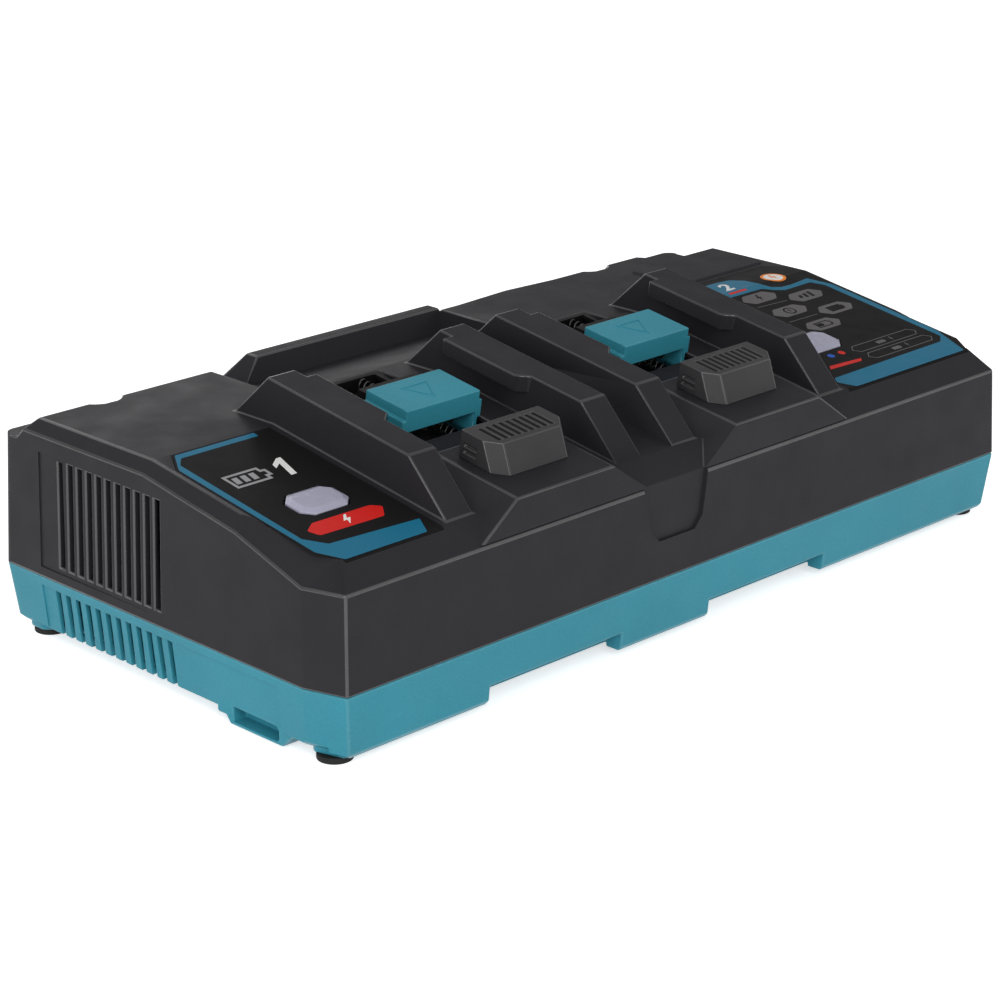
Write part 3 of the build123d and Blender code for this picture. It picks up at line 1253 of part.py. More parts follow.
    fin_pitch = (HEAT_SINK_DEPTH - HEAT_SINK_FIN) / (HEAT_SINK_FINS - 1)
    with BuildPart() as heat_sink:
        with BuildSketch(Plane.YZ.offset(bay_x - HEAT_SINK_LENGTH / 2)):
            with Locations((HEAT_SINK_Y, BOARD_TOP_Z)):
                Rectangle(HEAT_SINK_DEPTH, HEAT_SINK_BASE, align=(Align.CENTER, Align.MIN))
            with Locations((HEAT_SINK_Y, BOARD_TOP_Z + HEAT_SINK_HEIGHT / 2)):
                with GridLocations(fin_pitch, 0, HEAT_SINK_FINS, 1):
                    Rectangle(HEAT_SINK_FIN, HEAT_SINK_HEIGHT)
        extrude(amount=HEAT_SINK_LENGTH)
    heat_sink.part.label = f"{side}_heat_sink"
    export_step(heat_sink.part, f"parts/{heat_sink.part.label}.step")
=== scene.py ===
"""Looks of a dual-bay charger for slide-on tool batteries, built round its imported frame.

Every piece is in metres, in the frame's own axes: X along the charger, Y to the back,
Z up. Sizes below are written in millimetres and turned into metres where a mesh is made.
"""

import logging
import math
from dataclasses import dataclass
from enum import Enum
from typing import Iterable, Sequence

import bmesh
import bpy
from mathutils import Matrix, Vector
from mathutils.bvhtree import BVHTree
from mathutils.geometry import intersect_point_line
from mathutils.kdtree import KDTree


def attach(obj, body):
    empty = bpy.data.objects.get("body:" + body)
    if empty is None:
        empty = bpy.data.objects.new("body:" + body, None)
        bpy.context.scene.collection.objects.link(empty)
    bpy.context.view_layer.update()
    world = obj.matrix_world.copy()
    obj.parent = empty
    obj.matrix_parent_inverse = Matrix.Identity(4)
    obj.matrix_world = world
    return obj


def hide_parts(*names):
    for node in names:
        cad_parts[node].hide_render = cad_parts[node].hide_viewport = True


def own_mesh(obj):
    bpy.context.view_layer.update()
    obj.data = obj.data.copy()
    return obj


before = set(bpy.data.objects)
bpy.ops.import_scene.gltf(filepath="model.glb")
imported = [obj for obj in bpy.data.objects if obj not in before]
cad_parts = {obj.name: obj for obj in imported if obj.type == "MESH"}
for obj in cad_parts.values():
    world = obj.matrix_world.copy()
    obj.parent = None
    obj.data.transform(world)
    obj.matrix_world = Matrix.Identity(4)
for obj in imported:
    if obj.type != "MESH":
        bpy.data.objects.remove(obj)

MM = 0.001
WELD = 0.002  # corners nearer than this, in millimetres, are one
FLAT = math.radians(0.6)  # faces nearer to level than this are joined
FINER_SHARE = 0.45  # width of the second rounding, as a share of the first
FINER_SHARP = 58.0  # it takes only the edges sharper than this, in degrees
LOG = logging.getLogger("charger")

Colour = tuple[float, float, float]
Point2 = tuple[float, float]
Point3 = tuple[float, float, float]
Outline = tuple[Point2, ...]
UP = (0.0, 0.0, 1.0)
BACK = (0.0, 1.0, 0.0)
Socket = bpy.types.NodeSocket
BMesh = bmesh.types.BMesh
BMVert = bmesh.types.BMVert
BMEdge = bmesh.types.BMEdge
BMFace = bmesh.types.BMFace


class Side(Enum):
    """The two bays, named as seen from the front."""

    LEFT = "left"
    RIGHT = "right"

    @property
    def bay_x(self) -> float:
        """Middle of the bay along the charger, in millimetres."""
        return -74.0 if self is Side.LEFT else 42.0

    @property
    def outward(self) -> int:
        """Sign of the direction from the charger's middle to this end."""
        return -1 if self is Side.LEFT else 1


@dataclass(frozen=True)
class Slope:
    """The sloped top as a frame: x along the charger, v up the slope, w off it."""

    angle: float = math.radians(8.9)
    flat_top: float = 86.9
    fold_y: float = 8.0

    def matrix(self, x: float = 0.0, v: float = 0.0) -> Matrix:
        """Matrix from slope millimetres to frame metres.

        Args:
            x: Place along the charger.
            v: Place up the slope.

        Returns:
            The matrix that sets a drawing made in millimetres on the slope.
        """
        seat = Matrix.Translation(Vector((x, 0.0, self.height(0.0))) * MM)
        turn = Matrix.Rotation(self.angle, 4, "X")
        return seat @ turn @ Matrix.Translation(Vector((0.0, v, 0.0)) * MM) @ Matrix.Scale(MM, 4)

    def height(self, y: float) -> float:
        """Height of the top over a place of the plan, in millimetres."""
        return self.flat_top + min(0.0, y - self.fold_y) * math.tan(self.angle)


SLOPE = Slope()


# ------------------------------------------------------------------ finishes


class Recipe:
    """Shader nodes of one material, added and linked by name."""

    def __init__(self, name: str) -> None:
        """Start a material that holds only a principled shader.

        Args:
            name: Name of the material.
        """
        self.material = bpy.data.materials.new(name)
        self.material.use_nodes = True
        self.tree = self.material.node_tree
        self.tree.nodes.clear()
        self.shader = self.node("BsdfPrincipled")
        self.node("OutputMaterial", {"Surface": self.shader.outputs["BSDF"]})
        self.place = self.node("TexCoord").outputs["Object"]

    def feed(self, socket: Socket, value: object) -> None:
        """Link a socket to an output, or give it a value of its own.

        Args:
            socket: Input that is fed.
            value: Output socket or plain value.
        """
        if isinstance(value, Socket):
            self.tree.links.new(value, socket)
        else:
            socket.default_value = value

    def node(self, kind: str, inputs: dict | None = None, **settings: object) -> bpy.types.Node:
        """Add a node.

        Args:
            kind: Short name of the node's type.
            inputs: Values or output sockets for its inputs, by name or place.
            **settings: The node's own settings.

        Returns:
            The new node.
        """
        made = self.tree.nodes.new("ShaderNode" + kind)
        for key, value in settings.items():
            setattr(made, key, value)
        for key, value in (inputs or {}).items():
            self.feed(made.inputs[key], value)
        return made

    def set(self, **values: object) -> bpy.types.Material:
        """Set the shader's own sockets and return the material.

        Args:
            **values: Values by socket name, with an underscore for a space.

        Returns:
            The material.
        """
        for key, value in values.items():
            self.feed(self.shader.inputs[key.replace("_", " ")], value)
        return self.material

    def noise(self, grain: float, detail: float = 2.0, stretch: Point3 = (1.0, 1.0, 1.0)) -> Socket:
        """Noise of a real size.

        Args:
            grain: Size of one patch, in millimetres.
            detail: Levels of finer noise.
            stretch: Factors that squeeze the pattern along each axis.

        Returns:
            The noise's height, from 0 to 1.
        """
        mapping = self.node("Mapping", {"Vector": self.place, "Scale": stretch})
        inputs = {"Vector": mapping.outputs[0], "Scale": 1 / (grain * MM), "Detail": detail}
        return self.node("TexNoise", inputs).outputs["Fac"]

    def cells(self, size: float, jitter: float = 1.0, **settings: object) -> Socket:
        """Distance to the nearest cell of a pattern, whose size is in millimetres."""
        inputs = {"Vector": self.place, "Scale": 1 / (size * MM), "Randomness": jitter}
        return self.node("TexVoronoi", inputs, **settings).outputs["Distance"]

    def ramp(self, height: Socket, low: Colour, high: Colour, ends: Point2 = (0.3, 0.7)) -> Socket:
        """Two colours along a height.

        Args:
            height: Socket that gives the height.
            low: Colour of the low places.
            high: Colour of the high places.
            ends: Heights at which each is pure.

        Returns:
            The colour's socket.
        """
        made = self.node("ValToRGB", {"Fac": height})
        for stop, place, colour in zip(made.color_ramp.elements, ends, (low, high)):
            stop.position = place
            stop.color = (*colour, 1.0)
        return made.outputs["Color"]

    def span(self, height: Socket, low: float, high: float, ends: Point2 = (0.3, 0.7)) -> Socket:
        """Map a height, read between two ends, to a range from low to high."""
        inputs = {"Value": height, "From Min": ends[0], "From Max": ends[1]}
        return self.node("MapRange", {**inputs, "To Min": low, "To Max": high}).outputs["Result"]

    def bump(self, height: Socket, depth: float, strength: float) -> Socket:
        """Raise the surface by a height, to a depth in millimetres."""
        inputs = {"Height": height, "Distance": depth * MM, "Strength": strength}
        return self.node("Bump", inputs).outputs["Normal"]


def shade(colour: Colour, factor: float) -> Colour:
    """Colour made lighter or darker by a factor."""
    return tuple(min(1.0, channel * factor) for channel in colour)


@dataclass(frozen=True)
class MouldedPlastic:
    """Injection-moulded plastic with a spark-eroded grain."""

    name: str
    colour: Colour
    roughness: float
    grain: float
    depth: float
    mottling: float = 0.12
    specular: float = 0.5
    patch: float = 38.0
    rubbed: float = 16.0
    pit: Colour = (0.86, 0.86, 0.86)
    crest: Colour = (1.0, 1.0, 1.0)

    def build(self) -> bpy.types.Material:
        """Make the material: grain, broad mottling and rubbed patches.

        Returns:
            The material.
        """
        recipe = Recipe(self.name)
        low, high = (shade(self.colour, 1 + sign * self.mottling) for sign in (-1, 1))
        broad = recipe.ramp(recipe.noise(self.patch, 3.0), low, high)
        fine = recipe.noise(self.grain, 3.0)
        speck = recipe.ramp(fine, self.pit, self.crest, (0.35, 0.7))
        mix = {"data_type": "RGBA", "blend_type": "MULTIPLY"}
        wear = recipe.noise(self.rubbed, 4.0)
        return recipe.set(
            Base_Color=recipe.node("Mix", {0: 1.0, 6: broad, 7: speck}, **mix).outputs[2],
            Roughness=recipe.span(wear, self.roughness - 0.05, self.roughness + 0.07),
            Normal=recipe.bump(fine, self.depth, 0.55),
            Specular_IOR_Level=self.specular,
        )


@dataclass(frozen=True)
class PrintedFilm:
    """Ink on a glossy polyester film."""

    name: str
    colour: Colour
    roughness: float
    specular: float = 0.1
    dot: float = 0.3
    smear: float = 9.0
    ripple: float = 2.2

    def build(self) -> bpy.types.Material:
        """Make the material: flat ink, faint screen dots and a wavy gloss.

        Returns:
            The material.
        """
        recipe = Recipe(self.name)
        low, high = shade(self.colour, 0.9), shade(self.colour, 1.06)
        gloss = recipe.noise(self.smear, 3.0)
        return recipe.set(
            Base_Color=recipe.ramp(recipe.noise(self.dot, 1.0), low, high, (0.35, 0.65)),
            Roughness=recipe.span(gloss, self.roughness - 0.04, self.roughness + 0.08),
            Normal=recipe.bump(recipe.noise(self.ripple), 0.008, 0.5),
            Specular_IOR_Level=self.specular,
        )


@dataclass(frozen=True)
class FrostedLens:
    """Milky clear plastic with a fine lens pattern on its inside."""

    name: str
    colour: Colour
    prism: float = 1.1
    haze: float = 5.0
    glow: Point3 = (0.004, 0.004, 0.005)

    def build(self) -> bpy.types.Material:
        """Make the material: cloudy body, prisms inside and a smooth skin.

        Returns:
            The material.
        """
        recipe = Recipe(self.name)
        cloud = recipe.noise(self.haze)
        prisms = recipe.cells(self.prism, feature="SMOOTH_F1")
        return recipe.set(
            Base_Color=recipe.ramp(cloud, shade(self.colour, 0.95), shade(self.colour, 1.03)),
            Roughness=recipe.span(cloud, 0.2, 0.3),
            Normal=recipe.bump(prisms, 0.01, 0.05),
            Subsurface_Weight=0.35,
            Subsurface_Radius=self.glow,
            Subsurface_Scale=1.0,
            Specular_IOR_Level=0.35,
        )


@dataclass(frozen=True)
class Rubber:
    """Moulded rubber with bloom in its hollows."""

    name: str
    colour: Colour
    bloom: float = 3.0
    grain: float = 0.4

    def build(self) -> bpy.types.Material:
        """Make the material: dull, with a soft mottled bloom.

        Returns:
            The material.
        """
        recipe = Recipe(self.name)
        bloom = recipe.noise(self.bloom, 4.0)
        return recipe.set(
            Base_Color=recipe.ramp(bloom, self.colour, shade(self.colour, 1.8), (0.4, 0.75)),
            Roughness=recipe.span(bloom, 0.7, 0.85),
            Normal=recipe.bump(recipe.noise(self.grain), 0.02, 0.4),
            Specular_IOR_Level=0.3,
        )


@dataclass(frozen=True)
class Metal:
    """Bare or plated metal with a direction of polish."""

    name: str
    colour: Colour
    roughness: float
    along: Point3 = (0.08, 1.0, 1.0)
    streak: float = 0.35
    cloud: float = 6.0

    def build(self) -> bpy.types.Material:
        """Make the material: streaks along one axis and cloudy tarnish.

        Returns:
            The material.
        """
        recipe = Recipe(self.name)
        streaks = recipe.noise(self.streak, 3.0, self.along)
        tarnish = recipe.noise(self.cloud, 3.0)
        return recipe.set(
            Base_Color=recipe.ramp(tarnish, shade(self.colour, 0.82), self.colour, (0.3, 0.65)),
            Metallic=1.0,
            Roughness=recipe.span(streaks, self.roughness - 0.06, self.roughness + 0.12),
            Normal=recipe.bump(streaks, 0.01, 0.3),
        )


@dataclass(frozen=True)
class SolderMask:
    """Printed circuit board under green lacquer, with tracks showing through."""

    name: str
    colour: Colour
    track: Colour
    square: float = 7.0
    lacquer: float = 4.0

    def build(self) -> bpy.types.Material:
        """Make the material: square-edged tracks in a darker ground.

        Returns:
            The material.
        """
        recipe = Recipe(self.name)
        squares = recipe.cells(self.square, 0.85, distance="CHEBYCHEV", feature="F1")
        tracks = recipe.span(squares, 0.0, 1.0, (0.36, 0.4))
        return recipe.set(
            Base_Color=recipe.ramp(tracks, self.colour, self.track, (0.2, 0.8)),
            Roughness=recipe.span(recipe.noise(self.lacquer), 0.22, 0.36),
            Normal=recipe.bump(tracks, 0.03, 0.6),
            Coat_Weight=0.3,
        )


class Finish(Enum):
    """Every finish on the charger, each with the record's slot that it stands for."""

    BLACK_SHELL = "black_abs", MouldedPlastic(
        "black_shell", (0.0235, 0.0224, 0.0262), 0.5,
        grain=0.42, depth=0.035, mottling=0.04, specular=0.12,
    )
    TEAL_SHELL = "teal_abs", MouldedPlastic(
        "teal_shell", (0.039, 0.270, 0.355), 0.42,
        grain=0.6, depth=0.012, mottling=0.05, specular=0.18,
    )
    VENT_SHELL = "vent_abs", MouldedPlastic(
        "vent_shell", (0.036, 0.0355, 0.0375), 0.46,
        grain=0.42, depth=0.04, mottling=0.08, specular=0.25,
    )
    # Lighter than the black shell: a painted highlight along the rounded edges, on a glossier and
    # more specular finish.
    BLACK_EDGE = "black_abs", MouldedPlastic(
        "black_edge_painted_highlight", (0.034, 0.033, 0.036), 0.27,
        grain=0.6, depth=0.01, mottling=0.25, specular=0.75,
    )
    TEAL_EDGE = "teal_abs", MouldedPlastic(
        "rubbed_teal_edge", (0.042, 0.270, 0.350), 0.3,
        grain=0.6, depth=0.008, mottling=0.08, specular=0.45,
    )
    NYLON = "black_nylon", MouldedPlastic(
        "glass_filled_nylon", (0.0075, 0.0075, 0.0085), 0.45, grain=0.8, depth=0.02, specular=0.15
    )
    FERRITE = "ferrite", MouldedPlastic(
        "ground_ferrite", (0.035, 0.035, 0.038), 0.55, grain=0.25, depth=0.03
    )
    TAPE = "winding_tape", MouldedPlastic(
        "winding_tape", (0.62, 0.42, 0.04), 0.3, grain=2.5, depth=0.02
    )
    SLEEVE = "capacitor_sleeve", MouldedPlastic(
        "shrink_sleeve", (0.012, 0.022, 0.085), 0.25, grain=3.0, depth=0.015
    )
    RUBBER = "black_rubber", Rubber("foot_rubber", (0.010, 0.010, 0.010))
    ZINC = "zinc_steel", Metal("zinc_plate", (0.62, 0.62, 0.60), 0.32)
    # Far darker than the zinc plate: painted shade for the dark recess under the cover, where the
    # springs sit.
    SPRING = "zinc_steel", Metal("spring_wire_painted_shade", (0.085, 0.085, 0.09), 0.4, (1.0, 1.0, 0.2))
    BRASS = "contact_brass", Metal("tinned_contact", (0.74, 0.66, 0.46), 0.22)
    ALUMINIUM = "heat_sink_aluminium", Metal("extruded_aluminium", (0.66, 0.67, 0.69), 0.34)
    COPPER = "copper_wire", Metal("lacquered_copper", (0.62, 0.23, 0.07), 0.28)
    BOARD = "circuit_board", SolderMask("green_board", (0.006, 0.060, 0.022), (0.018, 0.130, 0.050))
    GLASS_TUBE = "fuse_glass", FrostedLens("fuse_tube", (0.62, 0.66, 0.66))
    LENS = "lens_plastic", FrostedLens("milky_lens", (0.37, 0.37, 0.47))
    FILM = "label_film", PrintedFilm("black_film", (0.0120, 0.0112, 0.0118), 0.36, specular=0.03)
    BAND = "label_film", PrintedFilm("teal_ink", (0.012, 0.150, 0.255), 0.32)
    SILVER = "label_film", PrintedFilm("silver_ink", (0.30, 0.30, 0.31), 0.34)
    GREY = "label_film", PrintedFilm("grey_ink", (0.115, 0.110, 0.112), 0.36)
    WHITE = "label_film", PrintedFilm("white_ink", (0.78, 0.78, 0.77), 0.36)
    RED = "label_film", PrintedFilm("red_ink", (0.62, 0.018, 0.014), 0.33)
    BLUE = "label_film", PrintedFilm("blue_ink", (0.02, 0.10, 0.50), 0.33)
    ORANGE = "label_film", PrintedFilm("orange_ink", (0.85, 0.24, 0.02), 0.33)

    @property
    def slot(self) -> str:
        """The record's material slot."""
        return self.value[0]

    def material(self) -> bpy.types.Material:
        """The finish's material, made the first time that it is asked for."""
        recipe = self.value[1]
        return bpy.data.materials.get(recipe.name) or recipe.build()


# ------------------------------------------------------------------ mesh tools


def added(name: str, data: bpy.types.ID) -> bpy.types.Object:
    """Put new data in the scene.

    Args:
        name: Name of the object.
        data: Its mesh, lamp or camera.

    Returns:
        The new object.
    """
    made = bpy.data.objects.new(name, data)
    bpy.context.scene.collection.objects.link(made)
    return made


def written(mesh: BMesh, name: str) -> bpy.types.Mesh:
    """Write a bmesh to mesh data.

    Args:
        mesh: The bmesh; it is freed.
        name: Name of the data.

    Returns:
        The new data.
    """
    data = bpy.data.meshes.new(name)
    mesh.to_mesh(data)
    mesh.free()
    return data


def finish_piece(
    mesh: BMesh, name: str, finishes: Sequence[Finish], body: str = "housing"
) -> bpy.types.Object:
    """Turn a bmesh into a piece that rides on a body.

    Args:
        mesh: Its mesh in frame metres; it is freed.
        name: Name of the piece.
        finishes: Its finishes, in the order of its faces' material numbers.
        body: The CAD body that it moves with.

    Returns:
        The new object.
    """
    piece = added(name, written(mesh, name))
    for finish in finishes:
        piece.data.materials.append(finish.material())
    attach(piece, body)
    LOG.info("%s: %d faces", name, len(piece.data.polygons))
    return piece


def stand_in(
    mesh: BMesh, node: str, finishes: Sequence[Finish], body: str = "housing", weigh: bool = False
) -> None:
    """Show a mesh in place of a CAD node.

    Args:
        mesh: Its mesh in frame metres; it is freed.
        node: Name of the CAD node.
        finishes: Its finishes, in the order of its faces' material numbers.
        body: The CAD body that it moves with.
        weigh: Let each large flat face set the shading of the rounding round it.
    """
    piece = finish_piece(mesh, f"{node}_shape", finishes, body)
    if weigh:
        modifier = piece.modifiers.new("flat_faces", "WEIGHTED_NORMAL")
        modifier.weight = 100
        modifier.keep_sharp = True
    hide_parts(node)


def dress(node: str, finish: Finish) -> None:
    """Give a CAD node its finish.

    Args:
        node: Name of the CAD node.
        finish: Its finish.
    """
    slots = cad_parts[node].data.materials
    slots.clear()
    slots.append(finish.material())
    LOG.info("%s: dressed in %s", node, finish.name.lower())


def merged_copy(node: str) -> BMesh:
    """Copy of a CAD node's mesh with its loose triangles joined into flat faces.

    Args:
        node: Name of the CAD node.

    Returns:
        The joined mesh.
    """
    mesh = bmesh.new()
    mesh.from_mesh(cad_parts[node].data)
    bmesh.ops.remove_doubles(mesh, verts=mesh.verts, dist=WELD * MM)
    bmesh.ops.dissolve_limit(mesh, angle_limit=FLAT, verts=mesh.verts, edges=mesh.edges)
    return mesh


def flat_face(mesh: BMesh, corners: Iterable[Sequence[float]]) -> BMFace:
    """New face with the given corners."""
    return mesh.faces.new([mesh.verts.new(corner) for corner in corners])


def border(mesh: BMesh, corners: Iterable[Point3], width: float) -> list[BMFace]:
    """Draw the border inside a flat outline.

    Args:
        mesh: Mesh that it joins.
        corners: The outline's corners.
        width: Width of the line.

    Returns:
        The border's faces.
    """
    face = flat_face(mesh, corners)
    face.normal_update()
    made = bmesh.ops.inset_region(
        mesh, faces=[face], thickness=width, use_even_offset=True, use_boundary=True
    )
    bmesh.ops.delete(mesh, geom=[face], context="FACES")
    return made["faces"]


def extruded(
    mesh: BMesh, faces: Iterable[BMFace], move: Point3, keep: bool = False
) -> list[BMFace]:
    """Extrude faces.

    Args:
        mesh: Their mesh.
        faces: The faces.
        move: How far and which way they go.
        keep: Leave the old faces as the shape's back.

    Returns:
        The faces at the new end.
    """
    made = bmesh.ops.extrude_face_region(mesh, geom=list(faces), use_keep_orig=keep)["geom"]
    verts = [item for item in made if isinstance(item, BMVert)]
    bmesh.ops.translate(mesh, verts=verts, vec=move)
    return [item for item in made if isinstance(item, BMFace)]


def lay_on_slope(mesh: BMesh, x: float, v: float = 0.0) -> None:
    """Lay a drawing made in millimetres on the slope and turn its faces outwards."""
    bmesh.ops.transform(mesh, matrix=SLOPE.matrix(x, v), verts=mesh.verts)
    bmesh.ops.recalc_face_normals(mesh, faces=mesh.faces)


def shade_smooth(mesh: BMesh, crease: float) -> None:
    """Shade a mesh smooth between its sharp edges.

    Args:
        mesh: The mesh.
        crease: Angle from which an edge stays sharp, in degrees.
    """
    for face in mesh.faces:
        face.smooth = True
    for edge in mesh.edges:
        edge.smooth = edge.calc_face_angle(0.0) < math.radians(crease)


def to_metres(mesh: BMesh) -> None:
    """Turn a mesh's faces outwards and bring it from millimetres to metres."""
    bmesh.ops.recalc_face_normals(mesh, faces=mesh.faces)
    bmesh.ops.scale(mesh, verts=mesh.verts, vec=(MM, MM, MM))


def circle(
    mesh: BMesh, corners: int, radius: float, seat: Matrix
) -> tuple[list[BMVert], list[BMEdge]]:
    """Draw an open circle in a mesh, and give its corners and its edges."""
    made = bmesh.ops.create_circle(mesh, segments=corners, radius=radius, matrix=seat)["verts"]
    return made, list(dict.fromkeys(edge for vert in made for edge in vert.link_edges))


def revolved(
    mesh: BMesh, outline: list, middle: Sequence[float], axis: Sequence[float], steps: int
) -> None:
    """Spin an outline once round an axis.

    Args:
        mesh: Its mesh.
        outline: Its corners and edges.
        middle: A point of the axis.
        axis: Direction of the axis.
        steps: Steps of the turn.
    """
    bmesh.ops.spin(
        mesh, geom=outline, cent=middle, axis=axis, angle=math.tau, steps=steps,
        use_merge=True, use_duplicate=False,
    )


def hoop(
    mesh: BMesh, place: Matrix, radius: float, section: float, steps: tuple[int, int]
) -> None:
    """Make a ring with a round section.

    Args:
        mesh: Mesh that it joins.
        place: Where it goes, with its axis along Z.
        radius: Radius of its middle line.
        section: Radius of its section.
        steps: Its corners round the axis and round the section.
    """
    around, across = steps
    seat = place @ Matrix.Translation((radius, 0.0, 0.0)) @ Matrix.Rotation(math.pi / 2, 4, "X")
    verts, edges = circle(mesh, across, section, seat)
    revolved(mesh, verts + edges, place.translation, place.to_3x3() @ Vector(UP), around)


@dataclass
class Rounding:
    """Rounds the sharp outer edges of a moulding wherever its corners leave room.

    Radius, clearance and sliver are in millimetres, and sharp and crease in degrees. Spike,
    shortest and reaches are shares of the radius. Turned is the cosine below which a face
    counts as folded over.
    """

    radius: float
    segments: int = 2
    sharp: float = 28.0
    mark: int = 0
    tries: int = 14
    spike: float = 0.9
    crease: float = 50.0
    shortest: float = 1.2
    clearance: float = 0.05
    sliver: float = 0.08
    turned: float = -0.35
    reaches: tuple[float, ...] = (1.0, 2.0, 4.0, 8.0, 16.0, 32.0)

    def apply(self, mesh: BMesh) -> BMesh:
        """Round a mesh, and leave sharp the few edges that would fold over.

        Args:
            mesh: The mesh with sharp edges; it is freed.

        Returns:
            The rounded mesh.
        """
        source = BVHTree.FromBMesh(mesh)
        chosen = [edge.index for edge in mesh.edges if self.wanted(edge, source)]
        rounded = None
        for _ in range(self.tries):
            trial = self.bevelled(mesh, chosen)
            faults = self.faults(trial, source)
            if not faults:
                rounded = trial
                break
            trial.free()
            kept = self.without(mesh, chosen, faults)
            if len(kept) == len(chosen):
                break
            chosen = kept
        if rounded is None:
            LOG.info("no rounding fits, so the edges stay sharp")
            rounded = mesh.copy()
        mesh.free()
        shade_smooth(rounded, self.crease)
        return rounded

    def bevelled(self, mesh: BMesh, chosen: Iterable[int]) -> BMesh:
        """Copy of a mesh with the chosen edges rounded.

        Args:
            mesh: The mesh with sharp edges.
            chosen: Numbers of the edges.

        Returns:
            The copy, with the new strips marked by their material number.
        """
        copy = mesh.copy()
        copy.edges.ensure_lookup_table()
        strips = bmesh.ops.bevel(
            copy, geom=[copy.edges[index] for index in chosen], offset=self.radius * MM,
            offset_type="OFFSET", segments=self.segments, profile=0.5, affect="EDGES",
            clamp_overlap=False, material=-1,
        )["faces"]
        for face in strips:
            face.material_index = self.mark
        return copy

    def wanted(self, edge: BMEdge, source: BVHTree) -> bool:
        """Say whether an edge is sharp, long enough and open to the outside.

        Args:
            edge: The edge.
            source: Tree of its mesh.

        Returns:
            True where it is rounded.
        """
        if len(edge.link_faces) != 2 or edge.calc_face_angle(0.0) < math.radians(self.sharp):
            return False
        if edge.calc_length() < self.shortest * self.radius * MM:
            return False
        out = (edge.link_faces[0].normal + edge.link_faces[1].normal).normalized()
        middle = (edge.verts[0].co + edge.verts[1].co) / 2
        return source.ray_cast(middle + out * self.clearance * MM, out)[0] is None

    def faults(self, rounded: BMesh, source: BVHTree) -> list[Vector]:
        """Find where the rounding left the old surface or turned a face over.

        Args:
            rounded: The rounded mesh.
            source: Tree of the mesh before.

        Returns:
            Places near each fault.
        """
        limit = self.spike * self.radius * MM
        found = []
        for vert in rounded.verts:
            if source.find_nearest(vert.co)[3] > limit:
                found.append(vert.co.copy())
                found.extend(edge.other_vert(vert).co.copy() for edge in vert.link_edges)
        parts = rounded.copy()
        bmesh.ops.triangulate(parts, faces=parts.faces)
        for face in parts.faces:
            if face.calc_area() < (self.sliver * MM) ** 2:
                continue
            centre = face.calc_center_median()
            _, normal, _, distance = source.find_nearest(centre)
            if distance > limit or face.normal.dot(normal) < self.turned:
                found.append(centre)
        parts.free()
        return found

    def without(self, mesh: BMesh, chosen: list[int], faults: list[Vector]) -> list[int]:
        """Drop the chosen edges that lie nearest to the faults.

        Args:
            mesh: The mesh with sharp edges.
            chosen: Numbers of the edges that were rounded.
            faults: Places that went wrong.

        Returns:
            The numbers that are left.
        """
        mesh.edges.ensure_lookup_table()
        tree = KDTree(len(faults))
        for number, place in enumerate(faults):
            tree.insert(place, number)
        tree.balance()
        for reach in self.reaches:
            far = reach * self.radius * MM
            kept = [index for index in chosen if not self.near(mesh.edges[index], tree, far)]
            if len(kept) < len(chosen):
                return kept
        return chosen

    @staticmethod
    def near(edge: BMEdge, tree: KDTree, reach: float) -> bool:
        """Say whether a fault lies within reach of an edge.

        Args:
            edge: The edge.
            tree: Tree of the faults.
            reach: Distance, in metres.

        Returns:
            True where one does.
        """
        start, end = (vert.co for vert in edge.verts)
        for place, _, _ in tree.find_range((start + end) / 2, edge.calc_length() / 2 + reach):
            nearest, share = intersect_point_line(place, start, end)
            nearest = start if share < 0 else end if share > 1 else nearest
            if (place - nearest).length < reach:
                return True
        return False


def softened(node: str, finishes: Sequence[Finish], radius: float) -> None:
    """Show a copy with rounded edges in place of a CAD node.

    Args:
        node: Name of the CAD node.
        finishes: Its finish, and a second one for its edges.
        radius: Width of the rounding, in millimetres.
    """
    mark = len(finishes) - 1
    mesh = Rounding(radius, mark=mark).apply(merged_copy(node))
    finer = Rounding(radius * FINER_SHARE, segments=1, sharp=FINER_SHARP, mark=mark)
    mesh = finer.apply(mesh)
    stand_in(mesh, node, finishes, weigh=True)


# ------------------------------------------------------------------ prints


def hexagon(shoulder: float) -> Outline:
    """Lying hexagon with pointed ends, whose long edges stop at the shoulders."""
    half = ((-1.0, 0.0), (-shoulder, 1.0), (shoulder, 1.0))
    return half + tuple((-x, -y) for x, y in half)


SQUARE: Outline = ((-1, -1), (1, -1), (1, 1), (-1, 1))
HEXAGON = hexagon(0.62)
LONG_HEXAGON = hexagon(0.86)
BOLT: Outline = (
    (0.1, 1.0), (-0.55, -0.12), (-0.08, -0.12), (-0.2, -1.0), (0.55, 0.2), (0.06, 0.2), (0.42, 1.0),
)
ONE: Outline = (
    (-0.1, -1.0), (0.5, -1.0), (0.5, 1.0), (0.05, 1.0), (-0.75, 0.5), (-0.75, 0.05), (-0.1, 0.42),
)


def placed(shape: Outline, centre: Point2, size: Point2, lean: float = 0.0) -> list[Point2]:
    """Unit shape set round a place of the plan, with its top moved by the lean."""
    return [(centre[0] + x * size[0] + y * lean, centre[1] + y * size[1]) for x, y in shape]


def strip(start: Point2, end: Point2, width: float) -> list[Point2]:
    """Corners of a straight line.

    Args:
        start: Its start.
        end: Its end.
        width: Its width.

    Returns:
        The corners in millimetres.
    """
    along = (Vector(end) - Vector(start)).normalized() * width / 2
    across = Vector((-along.y, along.x))
    corners = ((start, 1), (start, -1), (end, -1), (end, 1))
    return [tuple(Vector(spot) + across * sign) for spot, sign in corners]


